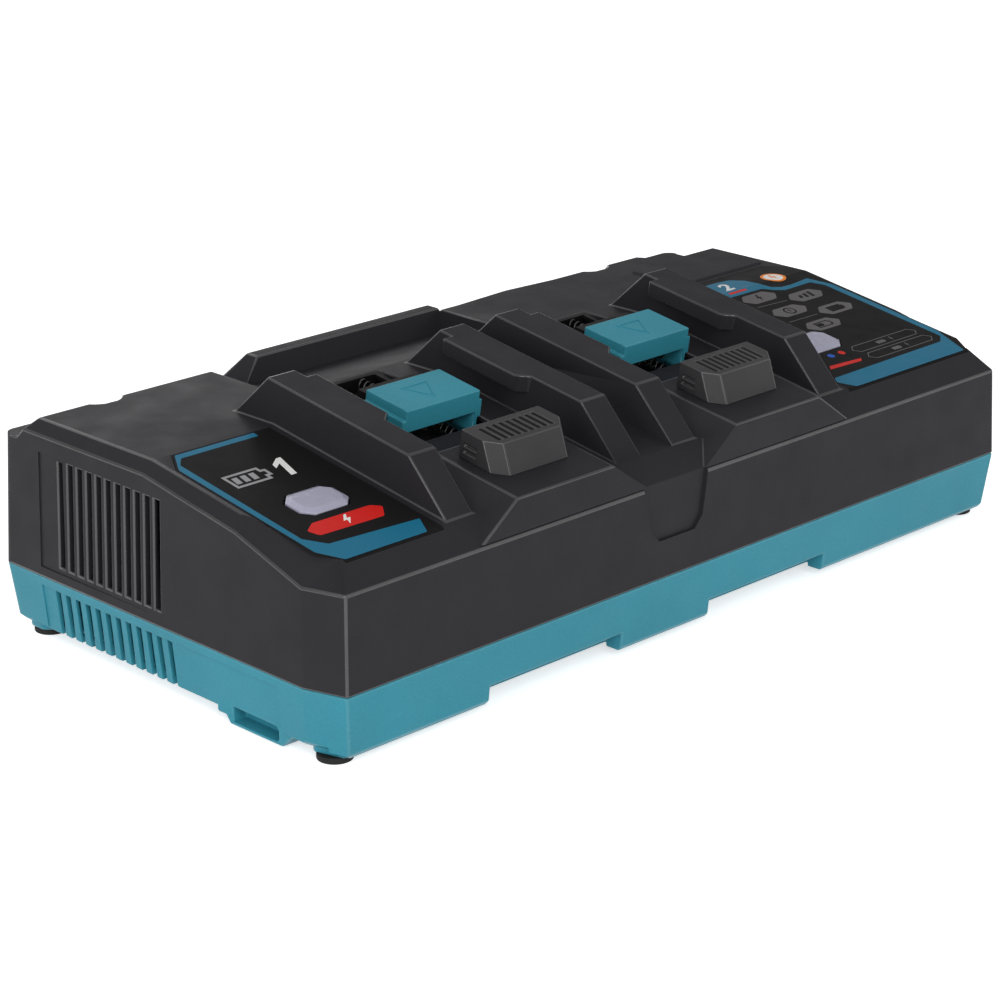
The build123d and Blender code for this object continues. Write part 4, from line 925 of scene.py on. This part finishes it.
def battery(centre: Point2, length: float, width: float) -> list[Point2]:
    """Outline of a battery sign with its pole to the right.

    Args:
        centre: Middle of its body.
        length: Length of its body.
        width: Its width.

    Returns:
        The corners in millimetres.
    """
    half, high, pole = length / 2, width / 2, length / 2 + width / 5
    lower = ((-half, -high), (half, -high), (half, -high / 2), (pole, -high / 2))
    upper = tuple((x, -y) for x, y in reversed(lower))
    return [(centre[0] + x, centre[1] + y) for x, y in lower + upper]


@dataclass
class Ink:
    """Printed shapes drawn in plan, each a thin film laid over the slope and its fold."""

    lift: float = 0.03
    corner_steps: int = 4
    disc_corners: int = 32
    digit_share: float = 0.72
    digit_weight: float = 0.035
    digit_lean: float = 0.35

    def __post_init__(self) -> None:
        """Start with an empty mesh and no inks."""
        self.mesh = bmesh.new()
        self.inks: list[Finish] = []

    def area(
        self,
        outline: Iterable[Point2],
        ink: Finish,
        layer: int = 0,
        corner: float = 0.0,
        line: float = 0.0,
    ) -> None:
        """Print one closed outline, filled or as a line.

        Args:
            outline: Its corners in the plan.
            ink: Its finish.
            layer: Films below it.
            corner: Rounding of its corners.
            line: Width of the line, or 0 where it is filled.
        """
        raised = [(x, y, layer * self.lift) for x, y in outline]
        faces = border(self.mesh, raised, line) if line else [flat_face(self.mesh, raised)]
        if corner:
            rounded = bmesh.ops.bevel(
                self.mesh, geom=faces[0].verts[:], offset=corner, segments=self.corner_steps,
                profile=0.5, affect="VERTICES", material=-1,
            )
            faces = rounded["verts"][0].link_faces[:1]
        self.raise_film(faces, ink)

    def spot(self, centre: Point2, radius: float, ink: Finish, layer: int = 0) -> None:
        """Print a disc.

        Args:
            centre: Its middle.
            radius: Its radius.
            ink: Its finish.
            layer: Films below it.
        """
        made = bmesh.ops.create_circle(
            self.mesh, cap_ends=True, segments=self.disc_corners, radius=radius,
            matrix=Matrix.Translation((*centre, layer * self.lift)),
        )
        self.raise_film(made["verts"][0].link_faces[:1], ink)

    def numeral(
        self, digit: str, centre: Point2, height: float, ink: Finish, layer: int = 0
    ) -> None:
        """Print a plain number.

        Args:
            digit: The number.
            centre: Its middle.
            height: Height of its digits.
            ink: Its finish.
            layer: Films below it.
        """
        curve = bpy.data.curves.new("numeral", "FONT")
        curve.body = digit
        curve.size = height / self.digit_share
        curve.offset = height * self.digit_weight
        curve.shear = self.digit_lean
        curve.align_x = curve.align_y = "CENTER"
        text = bpy.data.objects.new("numeral", curve)
        drawn = bpy.data.meshes.new_from_object(text)
        drawn.transform(Matrix.Translation((*centre, layer * self.lift)))
        known = set(self.mesh.faces)
        self.mesh.from_mesh(drawn)
        self.raise_film([face for face in self.mesh.faces if face not in known], ink)
        bpy.data.objects.remove(text)
        bpy.data.curves.remove(curve)
        bpy.data.meshes.remove(drawn)

    def raise_film(self, faces: Sequence[BMFace], ink: Finish) -> None:
        """Give flat faces their ink and a film's thickness.

        Args:
            faces: The faces.
            ink: Their finish.
        """
        if ink not in self.inks:
            self.inks.append(ink)
        for face in faces:
            face.material_index = self.inks.index(ink)
        extruded(self.mesh, faces, (0.0, 0.0, self.lift), keep=True)

    def finish(self, name: str) -> None:
        """Lay the print over the fold and hand it over as a piece.

        Args:
            name: Name of the piece.
        """
        bmesh.ops.bisect_plane(
            self.mesh, geom=self.mesh.verts[:] + self.mesh.edges[:] + self.mesh.faces[:],
            plane_co=(0.0, SLOPE.fold_y, 0.0), plane_no=(0.0, 1.0, 0.0),
        )
        for vert in self.mesh.verts:
            vert.co.z += SLOPE.height(vert.co.y)
        to_metres(self.mesh)
        finish_piece(self.mesh, name, self.inks)


@dataclass
class LeftLabel:
    """Print of the left label: a teal border, battery sign, number and red badge."""

    border: Outline = (
        (-134.8, 6.3), (-171.0, 6.3), (-177.1, -3.6), (-177.1, -75.2), (-171.6, -84.3),
        (-134.2, -84.3), (-129.6, -75.6), (-169.0, -73.0), (-174.6, -65.6), (-174.2, -0.8),
        (-170.4, 3.4), (-134.8, 3.4),
    )
    sign: Point2 = (-160.4, -20.6)
    sign_size: Point2 = (16.0, 9.6)
    sign_line: float = 1.2
    bars: tuple[float, ...] = (-4.6, -0.8, 3.0)
    bar_size: Point2 = (1.2, 2.3)
    number: Point2 = (-143.4, -20.4)
    number_size: Point2 = (4.4, 6.4)
    badge: Outline = (
        (-169.2, -62.3), (-163.9, -58.6), (-137.6, -58.9), (-134.2, -61.8), (-138.6, -67.6),
        (-167.4, -66.9),
    )
    bolt: Point2 = (-151.4, -62.7)
    bolt_size: Point2 = (3.4, 3.1)

    def build(self) -> None:
        """Print the label."""
        ink = Ink()
        ink.area(self.border, Finish.BAND, corner=0.5)
        ink.area(battery(self.sign, *self.sign_size), Finish.SILVER, line=self.sign_line)
        for bar in self.bars:
            middle = (self.sign[0] + bar, self.sign[1])
            ink.area(placed(SQUARE, middle, self.bar_size, lean=0.35), Finish.SILVER)
        ink.area(placed(ONE, self.number, self.number_size, lean=1.6), Finish.WHITE)
        ink.area(self.badge, Finish.RED, corner=0.9)
        ink.area(placed(BOLT, self.bolt, self.bolt_size, lean=0.6), Finish.WHITE, layer=1)
        ink.finish("left_label_print")


@dataclass
class RightLabel:
    """Print of the right label: a teal sweep, number, disc and charging signs."""

    border: Outline = (
        (95.5, 21.6), (134.0, 21.6), (142.6, 20.8), (147.2, 15.6), (148.2, 7.4), (150.0, 2.6),
        (154.0, 0.6), (160.0, 0.3), (172.2, 1.5), (177.1, -8.6), (177.1, -65.0), (170.2, -84.3),
        (99.9, -84.3), (95.5, -77.6), (98.0, -74.4), (168.6, -73.4), (173.4, -69.6), (173.4, -7.6),
        (169.9, -2.2), (153.0, -2.6), (148.4, -0.2), (144.6, 3.6), (95.5, 3.6),
    )
    number: Point2 = (132.2, 13.6)
    number_height: float = 8.6
    underline: Outline = ((127.0, 6.6), (138.0, 6.6))
    disc: Point2 = (160.4, 10.6)
    disc_radii: Point2 = (5.6, 4.3)
    disc_bolt: Point2 = (2.7, 3.3)
    lozenges: Outline = (
        (135.8, -2.6), (156.4, -10.9), (136.5, -18.8), (157.0, -26.7), (138.2, -35.6),
    )
    lozenge_size: Point2 = (10.4, 4.2)
    sign_bolt: Point2 = (2.6, 3.0)
    bar_spacing: float = 3.2
    bar_sizes: Outline = ((0.9, 1.2), (0.9, 1.8), (0.9, 2.4))
    clock_radii: Point2 = (3.0, 2.2)
    sign_battery: Point2 = (8.6, 4.6)
    low_charge: Point2 = (3.2, 2.6)
    low_charge_x: float = -2.0
    links: tuple[Outline, ...] = (
        ((126.4, -9.6), (144.8, -10.6)), ((126.4, -27.0), (144.5, -27.2)),
    )
    outlines: Outline = ((147.8, -60.2), (148.8, -67.8))
    outline_size: Point2 = (21.0, 2.9)
    small_signs_x: Point2 = (-2.5, 4.5)
    small_battery: Point2 = (5.0, 2.2)
    small_bolt: Point2 = (1.3, 1.7)
    flash: Outline = ((105.5, -65.6), (123.9, -67.0), (122.2, -68.9), (103.4, -68.0))
    dots: Outline = ((114.5, -59.1), (121.1, -59.2))
    dot_radius: float = 1.6

    def build(self) -> None:
        """Print the label."""
        ink = Ink()
        ink.area(self.border, Finish.BAND, corner=0.7)
        ink.numeral("2", self.number, self.number_height, Finish.WHITE, layer=1)
        ink.area(strip(*self.underline, width=1.5), Finish.RED, layer=1)
        rim, face = self.disc_radii
        ink.spot(self.disc, rim, Finish.ORANGE)
        ink.spot(self.disc, face, Finish.WHITE, layer=1)
        ink.area(placed(BOLT, self.disc, self.disc_bolt), Finish.ORANGE, layer=2)
        for place in self.lozenges:
            ink.area(placed(HEXAGON, place, self.lozenge_size), Finish.GREY, corner=0.8)
        self.signs(ink)
        for link in self.links:
            ink.area(strip(*link, width=0.35), Finish.GREY)
        left, right = self.small_signs_x
        for x, y in self.outlines:
            ink.area(placed(LONG_HEXAGON, (x, y), self.outline_size), Finish.GREY, line=0.4)
            ink.area(battery((x + left, y), *self.small_battery), Finish.GREY)
            ink.area(placed(BOLT, (x + right, y), self.small_bolt), Finish.GREY)
        ink.area(self.flash, Finish.RED, corner=0.3)
        for dot, colour in zip(self.dots, (Finish.BLUE, Finish.RED)):
            ink.spot(dot, self.dot_radius, colour)
        ink.finish("right_label_print")

    def signs(self, ink: Ink) -> None:
        """Print a plain dark sign on each lozenge.

        Args:
            ink: The print that they join.
        """
        bolt, bars, clock, full, low = self.lozenges
        ink.area(placed(BOLT, bolt, self.sign_bolt, lean=0.4), Finish.FILM, layer=1)
        for step, size in enumerate(self.bar_sizes):
            place = (bars[0] + self.bar_spacing * (step - 1), bars[1])
            ink.area(placed(SQUARE, place, size, lean=0.4), Finish.FILM, layer=1)
        rim, face = self.clock_radii
        ink.spot(clock, rim, Finish.FILM, layer=1)
        ink.spot(clock, face, Finish.GREY, layer=2)
        ink.area(placed(BOLT, clock, self.small_bolt), Finish.FILM, layer=3)
        ink.area(battery(full, *self.sign_battery), Finish.FILM, layer=1)
        ink.area(battery(low, *self.sign_battery), Finish.FILM, layer=1, line=0.6)
        charge = battery((low[0] + self.low_charge_x, low[1]), *self.low_charge)
        ink.area(charge, Finish.FILM, layer=1)


# ------------------------------------------------------------------ sub-assemblies


@dataclass
class Housing:
    """The black upper and teal lower shells, their feet, screws and bushing."""

    edge: float = 0.7
    small_edge: float = 0.35
    socket_rim: float = 1.1
    socket_depth: float = 1.4
    head_reach: float = 0.1
    lobes: int = 6
    lobe_height: float = 0.18

    def build(self) -> None:
        """Round the shells and dress what holds them together."""
        # The black edge finish paints a highlight on the upper shell's rounded edge strips.
        softened("upper_housing", [Finish.BLACK_SHELL, Finish.BLACK_EDGE], self.edge)
        softened("lower_housing", [Finish.TEAL_SHELL, Finish.TEAL_EDGE], self.edge)
        softened("rubber_feet", [Finish.RUBBER], self.small_edge)
        softened("cord_bushing", [Finish.RUBBER], self.small_edge)
        self.screws()

    def screws(self) -> None:
        """Sink a six-lobed socket in the head of each housing screw."""
        mesh = merged_copy("housing_screws")
        low = min(vert.co.z for vert in mesh.verts) + self.head_reach * MM
        down = [face for face in mesh.faces if face.normal.z < -0.9]
        heads = [face for face in down if face.calc_center_median().z < low]
        bmesh.ops.inset_region(mesh, faces=heads, thickness=self.socket_rim * MM)
        for head in heads:
            middle = head.calc_center_median()
            for vert in head.verts:
                arm = vert.co - middle
                wave = math.cos(self.lobes * math.atan2(arm.y, arm.x))
                vert.co = middle + arm * (1 - self.lobe_height * (1 - wave))
        extruded(mesh, heads, (0.0, 0.0, self.socket_depth * MM))
        bmesh.ops.delete(mesh, geom=heads, context="FACES_ONLY")
        stand_in(mesh, "housing_screws", [Finish.ZINC])


@dataclass
class CoverSprings:
    """The two long coil springs that push one terminal cover forward."""

    side: Side
    spacing: float = 11.5
    front: float = -26.1
    rear: float = 28.2
    height: float = -6.1
    radius: float = 2.3
    wire: float = 0.38
    wire_corners: int = 7
    turns: int = 20
    steps: int = 14

    def build(self) -> None:
        """Wind both springs."""
        name = f"{self.side.value}_cover_springs"
        mesh = bmesh.new()
        for hand in (-1, 1):
            self.coil(mesh, hand * self.spacing)
        lay_on_slope(mesh, self.side.bay_x)
        for face in mesh.faces:
            face.smooth = True
        piece = finish_piece(mesh, f"{name}_coils", [Finish.SPRING])
        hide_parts(name)
        anchor = SLOPE.matrix(self.side.bay_x) @ Vector((0.0, self.rear, self.height))
        axis = SLOPE.matrix().to_3x3() @ Vector(BACK)
        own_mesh(piece)

    def coil(self, mesh: BMesh, x: float) -> None:
        """Sweep the wire's circle round and along one spring.

        Args:
            mesh: Mesh that it joins.
            x: Place of its axis across the bay.
        """
        pitch = (self.rear - self.front - 2 * self.wire) / self.turns
        seat = Matrix.Translation((x + self.radius, self.front + self.wire, self.height))
        first = circle(mesh, self.wire_corners, self.wire, seat)[1]
        swept = bmesh.ops.spin(
            mesh, geom=first, cent=(x, self.front, self.height), axis=BACK,
            dvec=(0.0, pitch / self.steps, 0.0), angle=math.tau * self.turns,
            steps=self.steps * self.turns, use_merge=False, use_duplicate=False,
        )
        last = [item for item in swept["geom_last"] if isinstance(item, BMEdge)]
        for end in (first, last):
            bmesh.ops.contextual_create(mesh, geom=end)


@dataclass
class TerminalCover:
    """The sliding cover: roof, front and walls with skirts, runners and a push bar."""

    side: Side
    half: float = 18.5
    front: float = -28.4
    length: float = 22.4
    top: float = 12.2
    wall: float = 2.0
    lip: float = 3.3
    skirt: Point2 = (1.0, 8.2)
    skirt_reach: float = 1.6
    runner: Point2 = (-7.5, -5.5)
    runner_reach: float = 1.9
    bar_top: float = -3.9
    edge: float = 0.45

    def build(self) -> None:
        """Make the cover and stand it in for the CAD node."""
        mesh = bmesh.new()
        arch, panels = self.section(mesh)
        made = extruded(mesh, [arch, *panels], (0.0, self.wall, 0.0))
        rear = next(face for face in made if len(face.verts) == len(arch.verts))
        extruded(mesh, [rear], (0.0, self.length - self.wall, 0.0))
        lay_on_slope(mesh, self.side.bay_x)
        mesh = Rounding(self.edge, mark=1).apply(mesh)
        name = f"{self.side.value}_terminal_cover"
        stand_in(mesh, name, [Finish.TEAL_SHELL, Finish.TEAL_EDGE], name, weigh=True)

    def section(self, mesh: BMesh) -> tuple[BMFace, list[BMFace]]:
        """Draw the front of the cover.

        Args:
            mesh: Mesh that it joins.

        Returns:
            The arch of roof and walls, and the push bar with the front panel.
        """
        half, inner = self.half, self.half - self.wall
        low, shelf = self.runner
        right = [
            (half, self.top), (half, self.skirt[1]), (half + self.skirt_reach, self.skirt[1]),
            (half + self.skirt_reach, self.skirt[0]), (half, self.skirt[0]), (half, shelf),
            (half + self.runner_reach, shelf), (half + self.runner_reach, low), (inner, low),
            (inner, self.bar_top), (inner, self.lip), (inner, self.top - self.wall),
        ]
        left = [(-x, w) for x, w in reversed(right)]
        arch = flat_face(mesh, ((x, self.front, w) for x, w in right + left))
        verts, count = arch.verts[:], len(right)
        bar = [verts[count + step] for step in (-4, -3, 2, 3)]
        return arch, [mesh.faces.new(bar), mesh.faces.new(verts[count - 2:count + 2])]


@dataclass
class Bay:
    """What one battery bay holds: vent, cover, contacts, label and lens."""

    side: Side
    vent_edge: float = 0.45
    block_edge: float = 0.25
    arrow: Outline = ((-6.7, -11.8), (6.7, -11.8), (0.0, -23.6))
    arrow_top: float = 12.2
    arrow_line: float = 0.6
    arrow_height: float = 0.25
    lens_from_bay: Point2 = (77.0, -47.2)
    lens_size: Point2 = (22.2, 16.1)
    lens_cut: float = 4.0
    lens_foot: float = -4.5
    lens_rim: float = 0.35
    lens_top: float = 1.45
    lens_bevel: float = 2.3
    lens_edge: float = 0.3
    blades_in_row: int = 4
    blade_spacing: float = 7.0
    blade_thickness: float = 0.8
    blade_reach: Point2 = (-24.0, -0.8)
    blade_height: Point2 = (-1.6, 3.0)
    blade_nose: Point2 = (1.6, 1.1)
    plain_parts: tuple[tuple[str, Finish], ...] = (
        ("label_plate", Finish.FILM), ("indicator_board", Finish.BOARD),
        ("fan_frame", Finish.NYLON), ("fan_rotor", Finish.NYLON), ("heat_sink", Finish.ALUMINIUM),
    )

    def name(self, part: str) -> str:
        """Name of one of this bay's pieces."""
        return f"{self.side.value}_{part}"

    def build(self) -> None:
        """Make every piece of the bay."""
        softened(self.name("air_vent"), [Finish.VENT_SHELL, Finish.BLACK_EDGE], self.vent_edge)
        TerminalCover(self.side).build()
        softened(self.name("terminal_block"), [Finish.NYLON], self.block_edge)
        self.lens()
        self.blades()
        for part, finish in self.plain_parts:
            dress(self.name(part), finish)
        self.cover_arrow()
        CoverSprings(self.side).build()
        label = LeftLabel() if self.side is Side.LEFT else RightLabel()
        label.build()

    def lens(self) -> None:
        """Set the indicator lens, an eight-sided block with a broad bevel."""
        long, wide, cut = self.lens_size[0] / 2, self.lens_size[1] / 2, self.lens_cut
        half = ((long, wide - cut), (long - cut, wide), (cut - long, wide), (-long, wide - cut))
        corners = [(sign * x, sign * v, self.lens_foot) for sign in (1, -1) for x, v in half]
        mesh = bmesh.new()
        rise = (0.0, 0.0, self.lens_rim - self.lens_foot)
        top = extruded(mesh, [flat_face(mesh, corners)], rise)
        bmesh.ops.recalc_face_normals(mesh, faces=mesh.faces)
        bmesh.ops.inset_region(
            mesh, faces=top, thickness=self.lens_bevel, depth=self.lens_top - self.lens_rim,
            use_even_offset=True,
        )
        across, v = self.lens_from_bay
        lay_on_slope(mesh, self.side.bay_x + self.side.outward * across, v)
        mesh = Rounding(self.lens_edge, sharp=20.0).apply(mesh)
        stand_in(mesh, self.name("indicator_lens"), [Finish.LENS], weigh=True)

    def blades(self) -> None:
        """Set a row of contact blades with bevelled noses behind the cover."""
        mesh = bmesh.new()
        nose, tail = self.blade_reach
        low, high = self.blade_height
        back, cut = self.blade_nose
        side_view = (
            (nose, low + cut), (nose + back, low), (tail, low),
            (tail, high), (nose + back, high), (nose, high - cut),
        )
        for step in range(self.blades_in_row):
            middle = (step - (self.blades_in_row - 1) / 2) * self.blade_spacing
            x = middle - self.blade_thickness / 2
            face = flat_face(mesh, ((x, v, w) for v, w in side_view))
            extruded(mesh, [face], (self.blade_thickness, 0.0, 0.0))
        lay_on_slope(mesh, self.side.bay_x)
        stand_in(mesh, self.name("terminal_blades"), [Finish.BRASS])

    def cover_arrow(self) -> None:
        """Raise the outline of a forward arrow on the cover."""
        mesh = bmesh.new()
        rim = border(mesh, ((x, v, self.arrow_top) for x, v in self.arrow), self.arrow_line)
        extruded(mesh, rim, (0.0, 0.0, self.arrow_height), keep=True)
        lay_on_slope(mesh, self.side.bay_x)
        body = self.name("terminal_cover")
        finish_piece(mesh, self.name("cover_arrow"), [Finish.TEAL_SHELL], body)


@dataclass
class PowerStage:
    """The main board and what stands on it."""

    round_steps: int = 40
    crease: float = 35.0
    core_edge: float = 0.4
    winding_edge: float = 0.6
    capacitor_places: Outline = ((-113.0, 24.0), (-88.0, 24.0), (-63.0, 24.0))
    capacitor_foot: float = 16.1
    slack: float = 0.1
    capacitor_profile: Outline = (
        (0.0, 0.0), (10.2, 0.0), (10.9, 0.6), (10.9, 3.6), (10.1, 4.2), (10.1, 4.8), (10.9, 5.4),
        (10.9, 33.1), (10.4, 33.8), (9.3, 33.8), (9.3, 33.2), (0.0, 33.2),
    )
    choke_middle: Point3 = (24.0, 30.0, 23.1)
    choke_ring: Point2 = (11.0, 2.8)
    choke_steps: tuple[int, int] = (48, 16)
    choke_rise: float = 3.0
    choke_wire: float = 0.55
    wire_steps: tuple[int, int] = (18, 6)
    choke_turns: int = 24
    first_turn: float = 18.0
    turn_spacing: float = 13.0
    fuse_middle: Point3 = (0.0, 8.0, 18.85)
    fuse_profile: Outline = (
        (0.0, -10.0), (2.2, -10.0), (2.55, -9.6), (2.55, -5.0), (2.25, -4.8), (2.25, 4.8),
        (2.55, 5.0), (2.55, 9.6), (2.2, 10.0), (0.0, 10.0),
    )
    fuse_glass: float = 4.85
    clip_radii: Point2 = (2.55, 2.75)
    clip_span: Point2 = (5.7, 9.3)
    clip_mouth: float = 0.9
    clip_steps: int = 20

    def build(self) -> None:
        """Dress the board and make what stands on it."""
        dress("main_circuit_board", Finish.BOARD)
        softened("transformer_core", [Finish.FERRITE], self.core_edge)
        softened("transformer_winding", [Finish.TAPE], self.winding_edge)
        self.capacitors()
        self.choke()
        self.fuse()

    def turned(self, mesh: BMesh, profile: Outline, place: Matrix) -> None:
        """Spin a profile of radii and heights round an axis.

        Args:
            mesh: Mesh that the turned shape joins.
            profile: Radii and heights, in millimetres.
            place: Where the axis goes, in millimetres.
        """
        verts = [mesh.verts.new(place @ Vector((radius, 0.0, z))) for radius, z in profile]
        edges = [mesh.edges.new(pair) for pair in zip(verts, verts[1:])]
        axis = place.to_3x3() @ Vector(UP)
        revolved(mesh, verts + edges, place.translation, axis, self.round_steps)
        bmesh.ops.remove_doubles(mesh, verts=mesh.verts, dist=WELD)

    def set_up(self, mesh: BMesh, node: str, finishes: Sequence[Finish]) -> None:
        """Bring a part to metres, shade it smooth and show it in place of a CAD node.

        Args:
            mesh: Its mesh in millimetres; it is freed.
            node: Name of the CAD node.
            finishes: Its finishes.
        """
        to_metres(mesh)
        shade_smooth(mesh, self.crease)
        stand_in(mesh, node, finishes)

    def capacitors(self) -> None:
        """Stand the capacitors up, each with a crimped sleeve and a bare can top."""
        mesh = bmesh.new()
        for x, y in self.capacitor_places:
            upright = Matrix.Translation((x, y, self.capacitor_foot))
            self.turned(mesh, self.capacitor_profile, upright)
        rim, height = self.capacitor_profile[-2]
        for face in mesh.faces:
            middle = face.calc_center_median()
            reach = min((middle.xy - Vector(place)).length for place in self.capacitor_places)
            above = middle.z - self.capacitor_foot - height
            bare = reach < rim + self.slack and above > -self.slack
            face.material_index = int(bare)
        self.set_up(mesh, "filter_capacitors", [Finish.SLEEVE, Finish.ALUMINIUM])

    def choke(self) -> None:
        """Lay a ring core and wind its wire in turns round it."""
        ring, section = self.choke_ring
        mesh = bmesh.new()
        hoop(mesh, Matrix.Identity(4), ring, section, self.choke_steps)
        core = len(mesh.faces)
        reach = section + self.choke_wire
        upright = Matrix.Rotation(-math.pi / 2, 4, "X")
        for turn in range(self.choke_turns):
            half, step = divmod(turn, self.choke_turns // 2)
            angle = math.pi * half + math.radians(self.first_turn + self.turn_spacing * step)
            place = Matrix.Rotation(angle, 4, "Z") @ Matrix.Translation((ring, 0.0, 0.0))
            hoop(mesh, place @ upright, reach, self.choke_wire, self.wire_steps)
        for face in list(mesh.faces)[core:]:
            face.material_index = 1
        for vert in mesh.verts:
            arm = Vector((vert.co.xy.length - ring, vert.co.z))
            vert.co.z += self.choke_rise * arm.y / arm.length
        bmesh.ops.translate(mesh, verts=mesh.verts, vec=self.choke_middle)
        self.set_up(mesh, "line_filter_choke", [Finish.FERRITE, Finish.COPPER])

    def fuse(self) -> None:
        """Lay the glass fuse with its plated end caps in two clips."""
        mesh = bmesh.new()
        lying = Matrix.Translation(self.fuse_middle) @ Matrix.Rotation(math.pi / 2, 4, "Y")
        self.turned(mesh, self.fuse_profile, lying)
        for end in (-1, 1):
            self.clip(mesh, end)
        for face in mesh.faces:
            face.material_index = int(abs(face.calc_center_median().x) > self.fuse_glass)
        self.set_up(mesh, "line_fuse", [Finish.GLASS_TUBE, Finish.BRASS])

    def clip(self, mesh: BMesh, end: int) -> None:
        """Bend one spring clip round an end of the fuse, open at the top.

        Args:
            mesh: Mesh that it joins.
            end: Sign of the fuse's end.
        """
        middle = Vector(self.fuse_middle)
        mouth = Vector((0.0, math.sin(self.clip_mouth), math.cos(self.clip_mouth)))
        inner, outer = self.clip_radii
        near, far = (end * x for x in self.clip_span)
        corners = ((near, inner), (far, inner), (far, outer), (near, outer))
        section = flat_face(
            mesh, [middle + Vector((x, 0.0, 0.0)) + mouth * radius for x, radius in corners]
        )
        bmesh.ops.spin(
            mesh, geom=[section, *section.edges, *section.verts], cent=middle,
            axis=(-1.0, 0.0, 0.0), angle=math.tau - 2 * self.clip_mouth, steps=self.clip_steps,
            use_merge=False, use_duplicate=False,
        )


@dataclass
class Studio:
    """Pale floor, soft lamps and the camera."""

    focal: float = 102.27
    film: float = 36.0
    azimuth: float = math.radians(-44.73)
    elevation: float = math.radians(19.83)
    eye: Point3 = (-0.75643, -0.74773, 0.41179)
    floor_radius: float = 9.0
    floor_corners: int = 96
    floor_glow: float = 0.6
    room: float = 0.42
    lamps: tuple[tuple[str, Point3, float, float], ...] = (
        ("key", (-1.2, -2.0, 1.35), 1.5, 30.0),
        ("side", (-2.1, -0.5, 0.7), 1.2, 15.0),
        ("fill", (1.6, -1.6, 0.9), 1.6, 6.0),
        ("back", (-0.2, 1.8, 1.6), 1.6, 6.0),
        ("sheen", (0.75, 1.55, 0.55), 0.9, 3.0),
    )

    def build(self) -> None:
        """Set up the floor, world, lamps and camera."""
        self.floor()
        self.world()
        for lamp in self.lamps:
            self.lamp(*lamp)
        self.camera()

    def floor(self) -> None:
        """Lay a round white floor."""
        mesh = bmesh.new()
        bmesh.ops.create_circle(
            mesh, cap_ends=True, segments=self.floor_corners, radius=self.floor_radius
        )
        floor = added("floor", written(mesh, "floor"))
        recipe = Recipe("white_floor")
        path = recipe.node("LightPath").outputs
        seen = path["Is Camera Ray"]
        for other in ("Is Glossy Ray", "Is Transmission Ray"):
            seen = recipe.node("Math", {0: seen, 1: path[other]}, operation="MAXIMUM").outputs[0]
        glow = recipe.node("Math", {0: seen, 1: self.floor_glow}, operation="MULTIPLY")
        white = recipe.set(
            Base_Color=(0.94, 0.94, 0.94, 1.0),
            Roughness=0.9,
            Specular_IOR_Level=0.1,
            Emission_Color=(1.0, 1.0, 1.0, 1.0),
            Emission_Strength=glow.outputs[0],
        )
        floor.data.materials.append(white)

    def world(self) -> None:
        """Light everything softly from all round, before a plain white ground."""
        world = bpy.data.worlds.new("soft_room")
        bpy.context.scene.world = world
        world.use_nodes = True
        background = world.node_tree.nodes["Background"]
        background.inputs["Color"].default_value = (1.0, 1.0, 1.0, 1.0)
        path = world.node_tree.nodes.new("ShaderNodeLightPath").outputs
        level = world.node_tree.nodes.new("ShaderNodeMapRange")
        level.inputs["To Min"].default_value = self.room
        level.inputs["To Max"].default_value = 1.0
        world.node_tree.links.new(path["Is Camera Ray"], level.inputs["Value"])
        world.node_tree.links.new(level.outputs["Result"], background.inputs["Strength"])

    def lamp(self, name: str, place: Point3, size: float, power: float) -> None:
        """Hang a square soft box that points at the charger.

        Args:
            name: Name of the lamp.
            place: Where it hangs, in metres.
            size: Length of its side, in metres.
            power: Its power, in watts.
        """
        data = bpy.data.lights.new(name, "AREA")
        data.shape = "SQUARE"
        data.size = size
        data.energy = power
        lamp = added(name, data)
        lamp.location = place
        lamp.rotation_euler = Vector(place).to_track_quat("Z", "Y").to_euler()

    def camera(self) -> None:
        """Stand the camera where it sees the charger as in a catalogue view."""
        data = bpy.data.cameras.new("camera")
        data.lens = self.focal
        data.sensor_width = self.film
        camera = added("camera", data)
        camera.location = self.eye
        back = Vector((
            math.sin(self.azimuth) * math.cos(self.elevation),
            -math.cos(self.azimuth) * math.cos(self.elevation),
            math.sin(self.elevation),
        ))
        camera.rotation_euler = back.to_track_quat("Z", "Y").to_euler()
        bpy.context.scene.camera = camera
        bpy.context.scene.view_settings.view_transform = "Standard"


def main() -> None:
    """Build the charger's looks and write how large they are."""
    logging.basicConfig(level=logging.INFO, format="%(name)s: %(message)s")
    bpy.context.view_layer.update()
    Studio().build()
    Housing().build()
    for side in Side:
        Bay(side).build()
    PowerStage().build()


if __name__ == "__main__":
    main()
